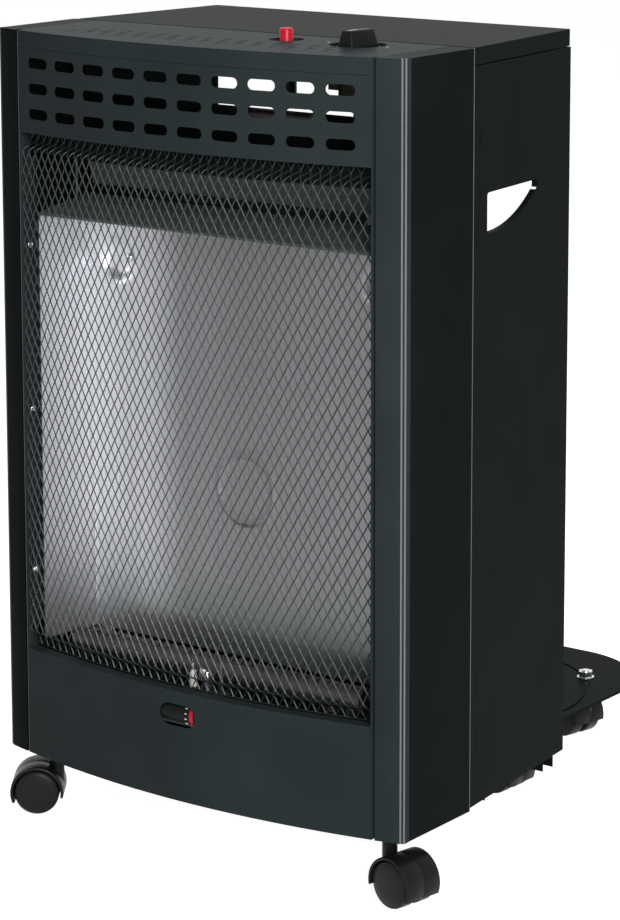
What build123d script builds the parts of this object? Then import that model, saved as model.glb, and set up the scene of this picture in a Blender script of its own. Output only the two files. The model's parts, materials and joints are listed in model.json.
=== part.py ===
from build123d import *
from math import asin, cos, degrees, radians, sin, sqrt
import os

os.makedirs("parts", exist_ok=True)

# Portable gas cabinet heater that folds flat: a slim blue flame unit with a bowed front,
# two hinged rear sides, a hinged top cover and a long bottle tray on its own casters.
# X runs to the right seen from the front, Y to the back, Z up. The floor is at Z = 0.

# ---- cabinet ----
cabinet_width = 450.0
cabinet_top = 740.0
body_bottom = 64.0
unit_depth = 104.0          # corner beads to the rear face of the front unit
sheet = 1.0
fit = 0.3                   # gap between pieces that seat on each other
running_gap = 0.05          # radial clearance of every bore that turns or slides
post_width = 26.0           # front face of a side panel, and its flange on the top
post_return = 12.0
bead_radius = 3.5           # rolled corner of a side panel
seam_flange = 14.0

# ---- bowed front ----
panel_gap = 3.0             # dark gap between a front panel and a post
panel_proud = 8.0           # ends of the front panels stand this far before the posts
bow = 22.0                  # rise of the bow over its chord
top_skirt = 15.0
grille_height = 77.0
lower_height = 101.0
panel_return = 12.0
slot_columns = 10
slot_rows = 3
slot_pitch = 37.3
slot_length = 27.3
slot_height = 9.5
slot_row_pitch = 23.0
slot_top_margin = 13.0      # upper edge of the grille to the middle of its first row
window_length = 40.0
window_height = 20.0
window_drop = 22.0          # top of the lower panel to the middle of the window
slit_width = 2.5
slit_length = 16.0
slit_pitch = 19.0
slit_count = 17             # slits in the front row; the rear row has one less
slit_depth = 16.0           # corner beads to the middle of the front row
slit_row_pitch = 18.0

# ---- mesh guard ----
guard_inset = 3.0
guard_border = 24.0         # height of the bent borders
guard_bend = 10.0           # how far a border leans back
mesh_columns = 11
mesh_rows = 9
mesh_strand = 3.2
rail_inner = 175.0          # inner edge of the strips that carry the guard

# ---- firebox ----
wing_front = 190.0          # half width of the reflector at its front and at its back
wing_rear = 180.0
firebox_back = 72.0         # corner beads to the reflector's back
reflector_low = 171.0
reflector_drop = 175.0      # cabinet's top to the reflector's upper edge
dimple_radius = 16.0
dimple_x = 163.0
dimple_drop = 39.0          # reflector's upper edge to the dimples
dimple_depth = 4.0
ring_radius = 34.0
ring_width = 5.0
ring_drop = 237.0           # reflector's upper edge to the embossed ring
ring_height = 1.5
lip_height = 9.0
lower_deflector_rise = 26.0
deflector_drop = 94.0       # cabinet's top to the upper deflector's front edge
shelf_drop = 140.0          # cabinet's top to the shelf behind it
shield_drop = 68.0          # cabinet's top to the rear shield's upper edge
vent_length = 46.0
vent_height = 5.0
vent_pitch = 58.0
vent_count = 6
floor_height = 156.0

# ---- burner and gas train ----
burner_radius = 12.0
burner_wall = 1.5
burner_half = 164.0
burner_foot = 2.0
burner_depth = 30.0         # corner beads to the burner's axis
port_count = 26
port_pitch = 12.0
port_width = 2.0
screw_radius = 3.5
pilot_x = 6.0
pilot_depth = 6.0
pilot_foot_length = 46.0
pilot_foot_width = 12.0
pilot_pitch = 16.0          # pilot burner to the electrode and to the thermocouple
pilot_height = 18.0
pipe_radius = 4.0
pipe_bend = 12.0
pipe_depth = 88.0
pipe_low = 126.0
valve_radius = 17.0
valve_height = 38.0
spindle_radius = 4.0
inlet_drop = 100.0          # cabinet's top to the hose inlet
inlet_block = 14.0
inlet_collar = 3.5
nozzle_radius = 4.5
nozzle_length = 21.0

# ---- controls ----
control_depth = 68.0        # corner beads to the middle of the knob
recess_depth = 8.0
knob_x = 127.0
knob_recess = 25.0
knob_radius = 22.0
knob_bar_length = 36.0
knob_bar_width = 15.0
knob_bar_height = 16.0
knob_angle = -18.0          # the bar's turn from straight back, at the off position
knob_travel = 4.0
button_x = 50.0
button_recess = 15.5
button_radius = 6.5
button_rise = 12.0
button_travel = 6.0
igniter_radius = 9.0
igniter_length = 42.0

# ---- rear sides and top cover ----
side_start = 106.0          # corner beads to the front edge of a rear side
side_end = 290.0
side_half = 222.0           # half width over the rear sides at their front edge
side_half_rear = 203.0
side_bottom = 65.0
side_flange = 7.0
grip_start = 25.0           # front edge of the side to the grip opening
grip_end = 121.0
grip_drop = 112.0           # top of the side to the top of the grip opening
grip_height = 35.0
grip_nose = 7.0             # upright end of the opening, at its rear
grip_rim = 6.0
side_axis_x = 215.5
side_axis_depth = 116.0
side_knuckle = 4.0
side_pin = 2.0
side_hinge_inset = 85.0     # ends of the side to the middle of its hinges
knuckle_tall = 24.0
knuckle_gap = 0.4
cover_start = 107.0
cover_axis_depth = 109.0
cover_axis_drop = 4.0
cover_knuckle = 2.6
cover_pin = 1.3
cover_hinge_x = 150.0
knuckle_wide = 12.0

# ---- bottle tray ----
tray_thickness = 3.0
tray_bottom = 59.0
tray_half = 148.0
tray_start = 145.0
tray_end = 578.0
tray_corner = 95.0
tray_axis_depth = 140.0
tray_axis_z = 55.0
tray_lug = 3.5
tray_pin = 2.0
arm_x = 130.0
arm_width = 4.0
seat_radius = 140.0         # pressed groove that the bottle stands in
seat_depth = 400.0
seat_groove = 4.0
channel_width = 18.0
channel_depth = 10.2
channel_half = 196.0
channel_depths = (160.5, 275.0)

# ---- casters ----
wheel_radius = 21.0
hood_radius = 25.0
hood_wall = 2.6
hood_half = 20.0
hood_front_angle = -23.0    # where the hood's rim ends, seen along the axle
hood_back_angle = 191.0
web_half = 3.0
wheel_gap = 0.6
axle_radius = 3.0
trail = 18.0
socket_radius = 6.8
socket_top = 56.0
stem_radius = 4.0
stem_depth = 13.0
nut_flange = 8.6
nut_flat = 6.5              # half of the hexagon's width across flats
nut_height = 7.0
front_stem = (192.0, 26.0)  # X, and corner beads to stem
middle_stem = (98.0, 322.0)
rear_stem = (98.0, 500.0)

# ---- places worked out from the sizes above ----
half_width = cabinet_width / 2
front_y = (panel_proud + bow - tray_end) / 2
panel_half = half_width - post_width - panel_gap
bow_radius = (panel_half**2 + bow**2) / (2 * bow)
bow_angle = degrees(asin(panel_half / bow_radius))
bow_axis_y = front_y - panel_proud - bow + bow_radius
grille_high = cabinet_top - top_skirt - fit
grille_low = cabinet_top - top_skirt - grille_height
lower_high = body_bottom + lower_height
reflector_high = cabinet_top - reflector_drop
dimple_z = reflector_high - dimple_drop
ring_z = reflector_high - ring_drop
deflector_top = cabinet_top - deflector_drop
shelf_height = cabinet_top - shelf_drop
shield_top = cabinet_top - shield_drop
inlet_height = cabinet_top - inlet_drop
side_top = cabinet_top - top_skirt - sheet
grip_high = side_top - grip_drop
grip_low = grip_high - grip_height
side_hinge_heights = (side_bottom + side_hinge_inset, side_top - side_hinge_inset)
cover_axis_z = cabinet_top - cover_axis_drop
recess_floor = cabinet_top - recess_depth
valve_top = recess_floor - sheet - fit
shell_half = half_width - bead_radius
shield_depth = unit_depth - sheet - fit
tray_top = tray_bottom + tray_thickness
floor_top = floor_height + sheet
burner_z = floor_top + fit + burner_foot + burner_radius


def depth(distance):
    """Y of a place that lies this far behind the corner beads."""
    return front_y + distance


def bow_y(x, inset=0.0):
    """Y of the bowed face, or of a face that lies inset behind it."""
    return bow_axis_y - sqrt((bow_radius - inset) ** 2 - x**2)


def across(x, distance, height):
    """Plane across the heater at x: local X runs back, local Y up."""
    return Plane(origin=(x, depth(distance), height), x_dir=(0, 1, 0), z_dir=(1, 0, 0))


def finish(part, label):
    part.label = label
    export_step(part, f"parts/{label}.step")
    return part


def mirrored(part, label):
    with BuildPart() as other:
        add(mirror(part, about=Plane.YZ))
    return finish(other.part, label)


def sweep_bow(section):
    """Turns a closed section of (radius, height) points about the bow's axis."""
    turn = radians(-90 - bow_angle)
    plane = Plane(
        origin=(0, bow_axis_y, 0), x_dir=(cos(turn), sin(turn), 0), z_dir=(sin(turn), -cos(turn), 0)
    )
    with BuildSketch(plane) as profile:
        with BuildLine():
            Polyline(*section, close=True)
        make_face()
    revolve(profile.sketch, axis=Axis((0, bow_axis_y, 0), (0, 0, 1)), revolution_arc=2 * bow_angle)


def channel_section(low, high, reach):
    """C section of a front panel: the face and its two returns."""
    inner = bow_radius - sheet
    back = bow_radius - reach
    return [
        (back, low),
        (bow_radius, low),
        (bow_radius, high),
        (back, high),
        (back, high - sheet),
        (inner, high - sheet),
        (inner, low + sheet),
        (back, low + sheet),
    ]


# ================= front unit: shell =================


def make_side_panel():
    """Post, side wall, top flange and the fixed hinge knuckles."""
    post_x = half_width - post_width
    with BuildPart() as panel:
        with BuildSketch(Plane.XY.offset(body_bottom)):
            with BuildLine():
                FilletPolyline(
                    (post_x, depth(post_return)),
                    (post_x, front_y),
                    (half_width, front_y),
                    (half_width, depth(unit_depth)),
                    (half_width - seam_flange, depth(unit_depth)),
                    radius=bead_radius,
                )
                offset(amount=sheet, side=Side.LEFT)
            make_face()
        extrude(amount=cabinet_top - body_bottom)
        with BuildSketch(Plane.XY.offset(cabinet_top - sheet)):
            with Locations(((post_x + half_width) / 2, depth(unit_depth / 2))):
                RectangleRounded(post_width - sheet, unit_depth - sheet, bead_radius)
        extrude(amount=sheet)
        for height in side_hinge_heights:
            with BuildSketch(Plane.XY.offset(height)):
                with Locations((side_axis_x, depth(side_axis_depth))):
                    Circle(side_knuckle)
                with Locations((side_axis_x - side_pin, depth((unit_depth + side_axis_depth) / 2))):
                    Rectangle(side_pin, side_axis_depth - unit_depth + sheet)
            extrude(amount=knuckle_tall / 2, both=True)
            with BuildSketch(Plane.XY.offset(height)):
                with Locations((side_axis_x, depth(side_axis_depth))):
                    Circle(side_pin + running_gap)
            extrude(amount=knuckle_tall, both=True, mode=Mode.SUBTRACT)
    return panel.part


def make_base_pan():
    start = post_return + fit
    with BuildPart() as pan:
        with BuildSketch(Plane.XY.offset(body_bottom)):
            with Locations((0, depth((start + shield_depth) / 2))):
                Rectangle(2 * shell_half, shield_depth - start)
        extrude(amount=panel_return)
        offset(amount=-sheet, openings=pan.faces().sort_by(Axis.Z)[-1])
        with BuildSketch(Plane.XY.offset(body_bottom)):
            with Locations(*[(side * front_stem[0], depth(front_stem[1])) for side in (-1, 1)]):
                Circle(stem_radius + running_gap)
        extrude(amount=sheet, mode=Mode.SUBTRACT)
    return finish(pan.part, "base_pan")


def make_control_top():
    """Pressed top of the front unit: bowed skirt, slits, two dished recesses."""
    side_x = half_width - post_width - fit
    back = depth(unit_depth - fit)
    dishes = ((knob_x, knob_recess, spindle_radius), (button_x, button_recess, button_radius))
    front_left = (-panel_half, bow_y(panel_half))
    front_right = (panel_half, bow_y(panel_half))
    with BuildPart() as top:
        with BuildSketch(Plane.XY.offset(cabinet_top - top_skirt)):
            with BuildLine():
                Polyline(
                    front_left,
                    (-panel_half, depth(fit)),
                    (-side_x, depth(fit)),
                    (-side_x, back),
                    (side_x, back),
                    (side_x, depth(fit)),
                    (panel_half, depth(fit)),
                    front_right,
                )
                ThreePointArc(front_right, (0, bow_y(0)), front_left)
            make_face()
        extrude(amount=top_skirt)
        offset(amount=-sheet, openings=top.faces().sort_by(Axis.Z)[0])
        with BuildSketch(Plane.XY.offset(recess_floor - sheet)):
            for x, radius, hole in dishes:
                with Locations((x, depth(control_depth))):
                    Circle(radius + sheet)
        extrude(amount=recess_depth)
        with BuildSketch(Plane.XY.offset(recess_floor)):
            for x, radius, hole in dishes:
                with Locations((x, depth(control_depth))):
                    Circle(radius)
        extrude(amount=recess_depth, mode=Mode.SUBTRACT)
        with BuildSketch(Plane.XY.offset(recess_floor - sheet)):
            for x, radius, hole in dishes:
                with Locations((x, depth(control_depth))):
                    Circle(hole + fit)
            for row, count in enumerate((slit_count, slit_count - 1)):
                with Locations((0, depth(slit_depth + row * slit_row_pitch))):
                    with GridLocations(slit_pitch, 1, count, 1):
                        Rectangle(slit_width, slit_length)
        extrude(amount=recess_depth + sheet, mode=Mode.SUBTRACT)
        for side in (-1, 1):
            axis = across(side * cover_hinge_x, cover_axis_depth, cover_axis_z)
            with BuildSketch(axis):
                Circle(cover_knuckle)
                with Locations((0, -cover_knuckle)):
                    Rectangle(1.6 * cover_knuckle, 2 * cover_knuckle)
                with Locations(((unit_depth - sheet - cover_axis_depth) / 2, -1.4 * cover_knuckle)):
                    Rectangle(cover_axis_depth - unit_depth + sheet, 0.6 * cover_knuckle)
            extrude(amount=knuckle_wide / 2, both=True)
            with BuildSketch(axis):
                Circle(cover_pin + running_gap)
            extrude(amount=knuckle_wide, both=True, mode=Mode.SUBTRACT)
    return finish(top.part, "control_top")


def make_upper_grille():
    first_row = grille_high - slot_top_margin
    with BuildPart() as grille:
        sweep_bow(channel_section(grille_low, grille_high, panel_return))
        with BuildSketch(Plane.XZ.offset(-depth(0))):
            with Locations((0, first_row - slot_row_pitch * (slot_rows - 1) / 2)):
                with GridLocations(slot_pitch, slot_row_pitch, slot_columns, slot_rows):
                    SlotOverall(slot_length, slot_height)
        extrude(amount=3 * bow, mode=Mode.SUBTRACT)
    return finish(grille.part, "upper_grille")


def make_lower_front_panel():
    with BuildPart() as panel:
        sweep_bow(channel_section(body_bottom, lower_high, panel_return))
        with BuildSketch(Plane.XZ.offset(-depth(0))):
            with Locations((0, lower_high - window_drop)):
                SlotOverall(window_length, window_height)
        extrude(amount=3 * bow, mode=Mode.SUBTRACT)
    return finish(panel.part, "lower_front_panel")


def make_mesh_guard():
    """Expanded metal guard: upright diamonds in staggered rows, borders bent back."""
    low = lower_high + fit
    high = grille_low - fit
    face = bow_radius - guard_inset
    section = [
        (face - guard_bend, low),
        (face, low + guard_border),
        (face, high - guard_border),
        (face - guard_bend, high),
        (face - guard_bend - sheet, high),
        (face - sheet, high - guard_border),
        (face - sheet, low + guard_border),
        (face - guard_bend - sheet, low),
    ]
    cell_x = 2 * (panel_half - mesh_strand) / mesh_columns
    cell_z = (high - low - mesh_strand) / mesh_rows
    with BuildPart() as guard:
        sweep_bow(section)
        with BuildSketch(Plane.XZ.offset(-depth(panel_return + guard_bend))):
            with BuildLine():
                Polyline(
                    (cell_x / 2 - mesh_strand / 2, 0),
                    (0, cell_z / 2 - mesh_strand),
                    (mesh_strand / 2 - cell_x / 2, 0),
                    (0, mesh_strand - cell_z / 2),
                    close=True,
                )
            diamond = make_face(mode=Mode.PRIVATE)
            for stagger in (0, 1):
                with Locations((0, (low + high) / 2)):
                    with GridLocations(cell_x, cell_z, mesh_columns - stagger, mesh_rows - stagger):
                        add(diamond)
        extrude(amount=3 * bow + guard_bend, mode=Mode.SUBTRACT)
    return finish(guard.part, "mesh_guard")


def make_guard_rails():
    """Strips beside the firebox that carry the guard, left and right."""
    face_y = bow_y(panel_half, guard_inset + sheet) + fit
    outer = half_width - post_width - fit
    low = lower_high + guard_border + 2 * fit
    with BuildPart() as rails:
        with BuildSketch(Plane.XY.offset(low)):
            with BuildLine():
                Polyline((rail_inner, face_y), (outer, face_y), (outer, depth(post_return)))
                offset(amount=sheet, side=Side.LEFT)
            make_face()
        extrude(amount=grille_low - lower_high - 2 * guard_border - 4 * fit)
        mirror(about=Plane.YZ)
    return finish(rails.part, "guard_rails")


# ================= front unit: firebox =================


def make_reflector():
    """Bright back wall with slanted wings, two dimples and an embossed ring."""
    flange_y = bow_y(panel_half, guard_inset + sheet) + 2 * sheet + 2 * fit
    back = depth(firebox_back)
    rails_low = lower_high + guard_border + 2 * fit
    with BuildPart() as reflector:
        with BuildSketch(Plane.XY.offset(reflector_low)):
            with BuildLine():
                Polyline(
                    (-rail_inner - 2 * sheet, flange_y),
                    (-wing_front, flange_y),
                    (-wing_rear, back),
                    (wing_rear, back),
                    (wing_front, flange_y),
                    (rail_inner + 2 * sheet, flange_y),
                )
                offset(amount=sheet, side=Side.LEFT)
            make_face()
        extrude(amount=reflector_high - reflector_low)
        with BuildSketch(Plane.XY.offset(reflector_low)):
            with Locations((0, front_y)):
                Rectangle(cabinet_width, panel_return)
        extrude(amount=rails_low - reflector_low, mode=Mode.SUBTRACT)
        wall = Plane.XZ.offset(-back)
        with BuildSketch(wall):
            with Locations((0, ring_z)):
                Circle(ring_radius)
                Circle(ring_radius - ring_width, mode=Mode.SUBTRACT)
        extrude(amount=ring_height)
        with BuildSketch(wall.offset(-sheet)):
            with Locations((-dimple_x, dimple_z), (dimple_x, dimple_z)):
                Circle(dimple_radius)
        extrude(amount=-dimple_depth, taper=30)
        with BuildSketch(wall):
            with Locations((-dimple_x, dimple_z), (dimple_x, dimple_z)):
                Circle(dimple_radius - sheet)
        extrude(amount=-dimple_depth, taper=30, mode=Mode.SUBTRACT)
    return finish(reflector.part, "reflector")


def make_lower_deflector():
    """Sloping plate with a lip, on the front ends of the reflector's wings."""
    low = reflector_high + fit
    with BuildPart() as deflector:
        with BuildSketch(across(-wing_front, 0, 0)):
            with BuildLine():
                Polyline(
                    (panel_proud, low),
                    (panel_proud, low + lip_height),
                    (firebox_back - panel_proud, low + lower_deflector_rise),
                )
                offset(amount=sheet, side=Side.RIGHT)
            make_face()
        extrude(amount=2 * wing_front)
    return finish(deflector.part, "lower_deflector")


def make_upper_deflector():
    """Slanted plate over the slot, with a shelf back to the rear shield."""
    with BuildPart() as deflector:
        with BuildSketch(across(-wing_front, 0, 0)):
            with BuildLine():
                Polyline(
                    (panel_return + sheet, deflector_top),
                    (firebox_back - panel_proud, shelf_height),
                    (shield_depth - sheet - fit, shelf_height),
                    (shield_depth - sheet - fit, shelf_height + panel_return),
                )
                offset(amount=sheet, side=Side.LEFT)
            make_face()
        extrude(amount=2 * wing_front)
        with BuildSketch(Plane.XY.offset(shelf_height - sheet)):
            with Locations((knob_x, depth(pipe_depth))):
                Circle(pipe_radius + fit)
        extrude(amount=3 * sheet, mode=Mode.SUBTRACT)
    return finish(deflector.part, "upper_deflector")


def make_rear_shield():
    """Back wall of the front unit, open above, with rows of vents."""
    low = body_bottom + panel_return + fit
    with BuildPart() as shield:
        with BuildSketch(Plane.XZ.offset(-depth(shield_depth))):
            with Locations((0, (low + shield_top) / 2)):
                Rectangle(2 * shell_half, shield_top - low)
            with Locations((0, low + vent_pitch), (0, inlet_height - 2 * vent_pitch)):
                with GridLocations(vent_pitch, 3 * vent_height, vent_count, 2):
                    SlotOverall(vent_length, vent_height, mode=Mode.SUBTRACT)
            with Locations((0, inlet_height)):
                Circle(pipe_radius + fit, mode=Mode.SUBTRACT)
        extrude(amount=sheet)
    return finish(shield.part, "rear_shield")


def make_firebox_floor():
    half = half_width - post_width - fit
    inset = sheet + fit
    back = depth(shield_depth - sheet - fit)
    front_left = (-panel_half, bow_y(panel_half, inset))
    front_right = (panel_half, bow_y(panel_half, inset))
    with BuildPart() as floor:
        with BuildSketch(Plane.XY.offset(floor_height)):
            with BuildLine():
                Polyline(
                    front_left,
                    (-panel_half, depth(fit)),
                    (-half, depth(fit)),
                    (-half, back),
                    (half, back),
                    (half, depth(fit)),
                    (panel_half, depth(fit)),
                    front_right,
                )
                ThreePointArc(front_right, (0, bow_y(0, inset)), front_left)
            make_face()
            with Locations((knob_x, depth(burner_depth)), (knob_x, depth(pipe_depth))):
                Circle(pipe_radius + fit, mode=Mode.SUBTRACT)
        extrude(amount=sheet)
    return finish(floor.part, "firebox_floor")


def make_burner_tube():
    """Closed tube with a row of flame ports, on two feet, with a gas inlet below."""
    axis = across(0, burner_depth, burner_z)
    feet = [(side * (burner_half - burner_radius), depth(burner_depth)) for side in (-1, 1)]
    with BuildPart() as tube:
        with BuildSketch(axis):
            Circle(burner_radius)
        extrude(amount=burner_half, both=True)
        with BuildSketch(Plane.XY.offset(floor_top + fit)):
            with Locations(*feet):
                Rectangle(2 * burner_wall, 2 * burner_radius)
            with Locations((knob_x, depth(burner_depth))):
                Circle(pipe_radius + 2 * burner_wall)
        extrude(amount=burner_foot + burner_radius / 2)
        with BuildSketch(axis):
            Circle(burner_radius - burner_wall)
        extrude(amount=burner_half - burner_wall, both=True, mode=Mode.SUBTRACT)
        with BuildSketch(Plane.XY.offset(floor_top)):
            with Locations((knob_x, depth(burner_depth))):
                Circle(pipe_radius - sheet)
        extrude(amount=burner_radius, mode=Mode.SUBTRACT)
        with BuildSketch(Plane.XY.offset(burner_z + burner_radius / 2)):
            with Locations((0, depth(burner_depth))):
                with GridLocations(port_pitch, 1, port_count, 1):
                    Rectangle(port_width, burner_radius)
        extrude(amount=burner_radius, mode=Mode.SUBTRACT)
    return finish(tube.part, "burner_tube")


def make_pilot_parts():
    """Pilot burner, spark electrode and thermocouple on one small foot."""
    foot = floor_top + fit
    row_y = depth(pilot_depth)
    with BuildPart() as pilot:
        with BuildSketch(Plane.XY.offset(foot)):
            with Locations((pilot_x, row_y)):
                Rectangle(pilot_foot_length, pilot_foot_width)
                with Locations((-pilot_pitch, 0), (pilot_pitch, 0)):
                    Circle(pilot_height / 9 + running_gap, mode=Mode.SUBTRACT)
        extrude(amount=2 * sheet)
        with BuildSketch(Plane.XY.offset(foot + sheet)):
            with Locations((pilot_x, row_y)):
                Circle(pilot_foot_width / 3)
        extrude(amount=pilot_height - sheet)
        with BuildSketch(Plane.XY.offset(foot + 2 * pilot_height / 3)):
            with Locations((pilot_x, row_y)):
                Circle(0.45 * pilot_foot_width)
        extrude(amount=pilot_height / 4)
    finish(pilot.part, "pilot_burner")
    rods = (
        ("spark_electrode", pilot_x - pilot_pitch, 1.55 * pilot_height),
        ("thermocouple", pilot_x + pilot_pitch, 1.8 * pilot_height),
    )
    for name, x, tip in rods:
        with BuildPart() as rod:
            with BuildSketch(Plane.XY.offset(foot)):
                with Locations((x, row_y)):
                    Circle(pilot_height / 9)
            extrude(amount=tip)
            with BuildSketch(Plane.XY.offset(foot + 2 * sheet + fit)):
                with Locations((x, row_y)):
                    Circle(0.19 * pilot_height)
            extrude(amount=tip / 2)
        finish(rod.part, name)


def make_indicator_drum():
    """Dark round-fronted drum behind the window, hung under the firebox floor."""
    radius = floor_height - fit - (lower_high - window_drop)
    middle = bow_y(0, sheet) - front_y + fit + radius
    with BuildPart() as drum:
        with BuildSketch(across(0, middle, lower_high - window_drop)):
            Circle(radius)
            with Locations((radius / 2, 0)):
                Rectangle(radius, 2 * radius)
        extrude(amount=window_length / 2 + 2, both=True)
    return finish(drum.part, "indicator_drum")


# ================= front unit: controls and gas train =================


def make_gas_valve():
    """Round valve under the knob's recess, with an outlet and an inlet boss."""
    with BuildPart() as valve:
        with BuildSketch(Plane.XY.offset(valve_top - valve_height)):
            with Locations((knob_x, depth(control_depth))):
                Circle(valve_radius)
        extrude(amount=valve_height)
        with BuildSketch(Plane.XY.offset(valve_top - 0.8 * valve_height)):
            with Locations((knob_x - valve_radius, depth(control_depth))):
                Rectangle(valve_radius, valve_radius)
        extrude(amount=valve_height / 2)
        with BuildSketch(Plane.XY.offset(valve_top)):
            with Locations((knob_x, depth(control_depth))):
                Circle(spindle_radius + running_gap)
        extrude(amount=-valve_height / 2 - fit, mode=Mode.SUBTRACT)
    return finish(valve.part, "gas_valve")


def make_valve_spindle():
    low = valve_top - valve_height / 2
    with BuildPart() as spindle:
        with BuildSketch(Plane.XY.offset(low)):
            with Locations((knob_x, depth(control_depth))):
                Circle(spindle_radius)
        extrude(amount=cabinet_top + knob_bar_height / 3 - low)
    return finish(spindle.part, "valve_spindle")


def make_control_knob():
    """Round base in the recess and a tapered grip bar across it."""
    low = recess_floor + knob_travel + 2 * fit
    bar = Plane(origin=(knob_x, depth(control_depth), cabinet_top)).rotated((0, 0, knob_angle))
    with BuildPart() as knob:
        with BuildSketch(Plane.XY.offset(low)):
            with Locations((knob_x, depth(control_depth))):
                Circle(knob_radius)
        extrude(amount=cabinet_top - low)
        with BuildSketch(bar):
            Rectangle(knob_bar_width, knob_bar_length)
        extrude(amount=knob_bar_height, taper=8)
        fillet(knob.faces().sort_by(Axis.Z)[-1].edges(), radius=1.2)
        with BuildSketch(Plane.XY.offset(low)):
            with Locations((knob_x, depth(control_depth))):
                Circle(spindle_radius + running_gap)
        extrude(amount=cabinet_top + knob_bar_height / 3 + knob_travel + fit - low, mode=Mode.SUBTRACT)
    return finish(knob.part, "control_knob")


def make_igniter():
    """Piezo igniter under its recess, and the button that slides in it."""
    with BuildPart() as body:
        with BuildSketch(Plane.XY.offset(valve_top)):
            with Locations((button_x, depth(control_depth))):
                Circle(igniter_radius + 3)
        extrude(amount=-4)
        with BuildSketch(Plane.XY.offset(valve_top)):
            with Locations((button_x, depth(control_depth))):
                Circle(igniter_radius)
        extrude(amount=-igniter_length)
        with BuildSketch(Plane.XY.offset(valve_top)):
            with Locations((button_x, depth(control_depth))):
                Circle(button_radius + running_gap)
        extrude(amount=-igniter_length / 2, mode=Mode.SUBTRACT)
    finish(body.part, "igniter_body")
    low = valve_top - igniter_length / 2 + button_travel + fit
    with BuildPart() as button:
        with BuildSketch(Plane.XY.offset(low)):
            with Locations((button_x, depth(control_depth))):
                Circle(button_radius)
        extrude(amount=cabinet_top + button_rise - low)
        fillet(button.edges().sort_by(Axis.Z)[-1], radius=1.2)
    finish(button.part, "igniter_button")


def make_gas_pipe():
    """Pipe from the valve down behind the reflector to the burner, and the supply pipe."""
    valve_low = valve_top - valve_height - fit
    valve_side = knob_x - 1.5 * valve_radius - fit
    valve_mid = valve_top - 0.55 * valve_height
    routes = (
        (
            (knob_x, depth(control_depth), valve_low),
            (knob_x, depth(control_depth), valve_low - 2 * pipe_bend),
            (knob_x, depth(pipe_depth), valve_low - 2 * pipe_bend - 2 * pipe_radius),
            (knob_x, depth(pipe_depth), pipe_low),
            (knob_x, depth(burner_depth), pipe_low),
            (knob_x, depth(burner_depth), floor_top),
        ),
        (
            (valve_side, depth(control_depth), valve_mid),
            (valve_side - 1.3 * pipe_bend, depth(control_depth), valve_mid),
            (valve_side - 1.3 * pipe_bend, depth(control_depth), shield_top),
            (0, depth(control_depth), shield_top),
            (0, depth(control_depth), inlet_height),
            (0, depth(shield_depth), inlet_height),
        ),
    )
    with BuildPart() as pipes:
        for route in routes:
            with BuildLine() as line:
                FilletPolyline(*route, radius=pipe_bend)
            start = Plane(origin=route[0], z_dir=line.line % 0)
            with BuildSketch(start):
                Circle(pipe_radius)
            sweep(path=line.line)
    return finish(pipes.part, "gas_pipes")


def make_hose_inlet():
    """Hexagon block on the rear shield, a collar and a nozzle for the gas hose."""
    middle = depth(unit_depth + inlet_block / 2)
    collar_low = inlet_height - inlet_block / 2 - inlet_collar
    with BuildPart() as inlet:
        with BuildSketch(Plane.XZ.offset(-depth(unit_depth - sheet))):
            with Locations((0, inlet_height)):
                RegularPolygon(radius=inlet_block / 2, side_count=6, major_radius=False)
        extrude(amount=-inlet_block)
        with BuildSketch(Plane.XY.offset(collar_low)):
            with Locations((0, middle)):
                Circle(inlet_block / 2 - sheet)
        extrude(amount=inlet_height - collar_low)
        with BuildSketch(Plane.XY.offset(collar_low)):
            with Locations((0, middle)):
                Circle(nozzle_radius)
        extrude(amount=-nozzle_length)
        with BuildSketch(Plane.XY.offset(collar_low - nozzle_length)):
            with Locations((0, middle)):
                Circle(nozzle_radius - 2 * sheet)
        extrude(amount=nozzle_length + inlet_collar, mode=Mode.SUBTRACT)
    return finish(inlet.part, "hose_inlet")


def make_panel_screws():
    """Heads along the guard's strips, in the reflector's dimples and on the floor."""
    face_y = bow_y(panel_half, guard_inset + sheet)
    screw_x = (rail_inner + panel_half - mesh_strand) / 2
    window = grille_low - lower_high
    heights = [lower_high + share * window for share in (0.16, 0.5, 0.84)]
    with BuildPart() as screws:
        with BuildSketch(Plane.XZ.offset(-face_y)):
            for height in heights:
                with Locations((-screw_x, height), (screw_x, height)):
                    Circle(screw_radius)
        extrude(amount=sheet)
        with BuildSketch(Plane.XZ.offset(-depth(firebox_back + dimple_depth - fit))):
            with Locations((-dimple_x, dimple_z), (dimple_x, dimple_z)):
                Circle(screw_radius)
        extrude(amount=2 * sheet)
        with BuildSketch(Plane.XY.offset(floor_top + fit)):
            for share in (-0.92, -0.24, 0.55):
                x = share * burner_half
                with Locations((x, bow_y(x, 2 * panel_return))):
                    Circle(screw_radius)
        extrude(amount=2 * sheet)
    return finish(screws.part, "panel_screws")


# ================= rear sides and top cover =================


def side_plane():
    """Outer face of the right rear side: local X runs back, local Y up."""
    return Plane(
        origin=(side_half, depth(side_start), 0),
        x_dir=(side_half_rear - side_half, side_end - side_start, 0),
        z_dir=(side_end - side_start, side_half - side_half_rear, 0),
    )


def grip_face(grow):
    """Grip opening: straight front and top, a curve from low front to high rear."""
    start = grip_start - grow
    end = grip_end + grow
    low = grip_low - grow
    high = grip_high + grow
    with BuildSketch(side_plane()) as opening:
        with BuildLine():
            Polyline((start, low), (start, high), (end, high), (end, high - grip_nose))
            waist = (start + 0.62 * (end - start), low + 0.23 * grip_height)
            ThreePointArc((end, high - grip_nose), waist, (start, low))
        make_face()
        fillet(opening.vertices(), radius=3)
    return opening.sketch


def strip_inside(width):
    """Strip along the inside of the right rear side."""
    return (
        (side_half - sheet / 2, depth(side_start)),
        (side_half_rear - sheet / 2, depth(side_end)),
        (side_half_rear - width, depth(side_end)),
        (side_half - width, depth(side_start)),
    )


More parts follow.
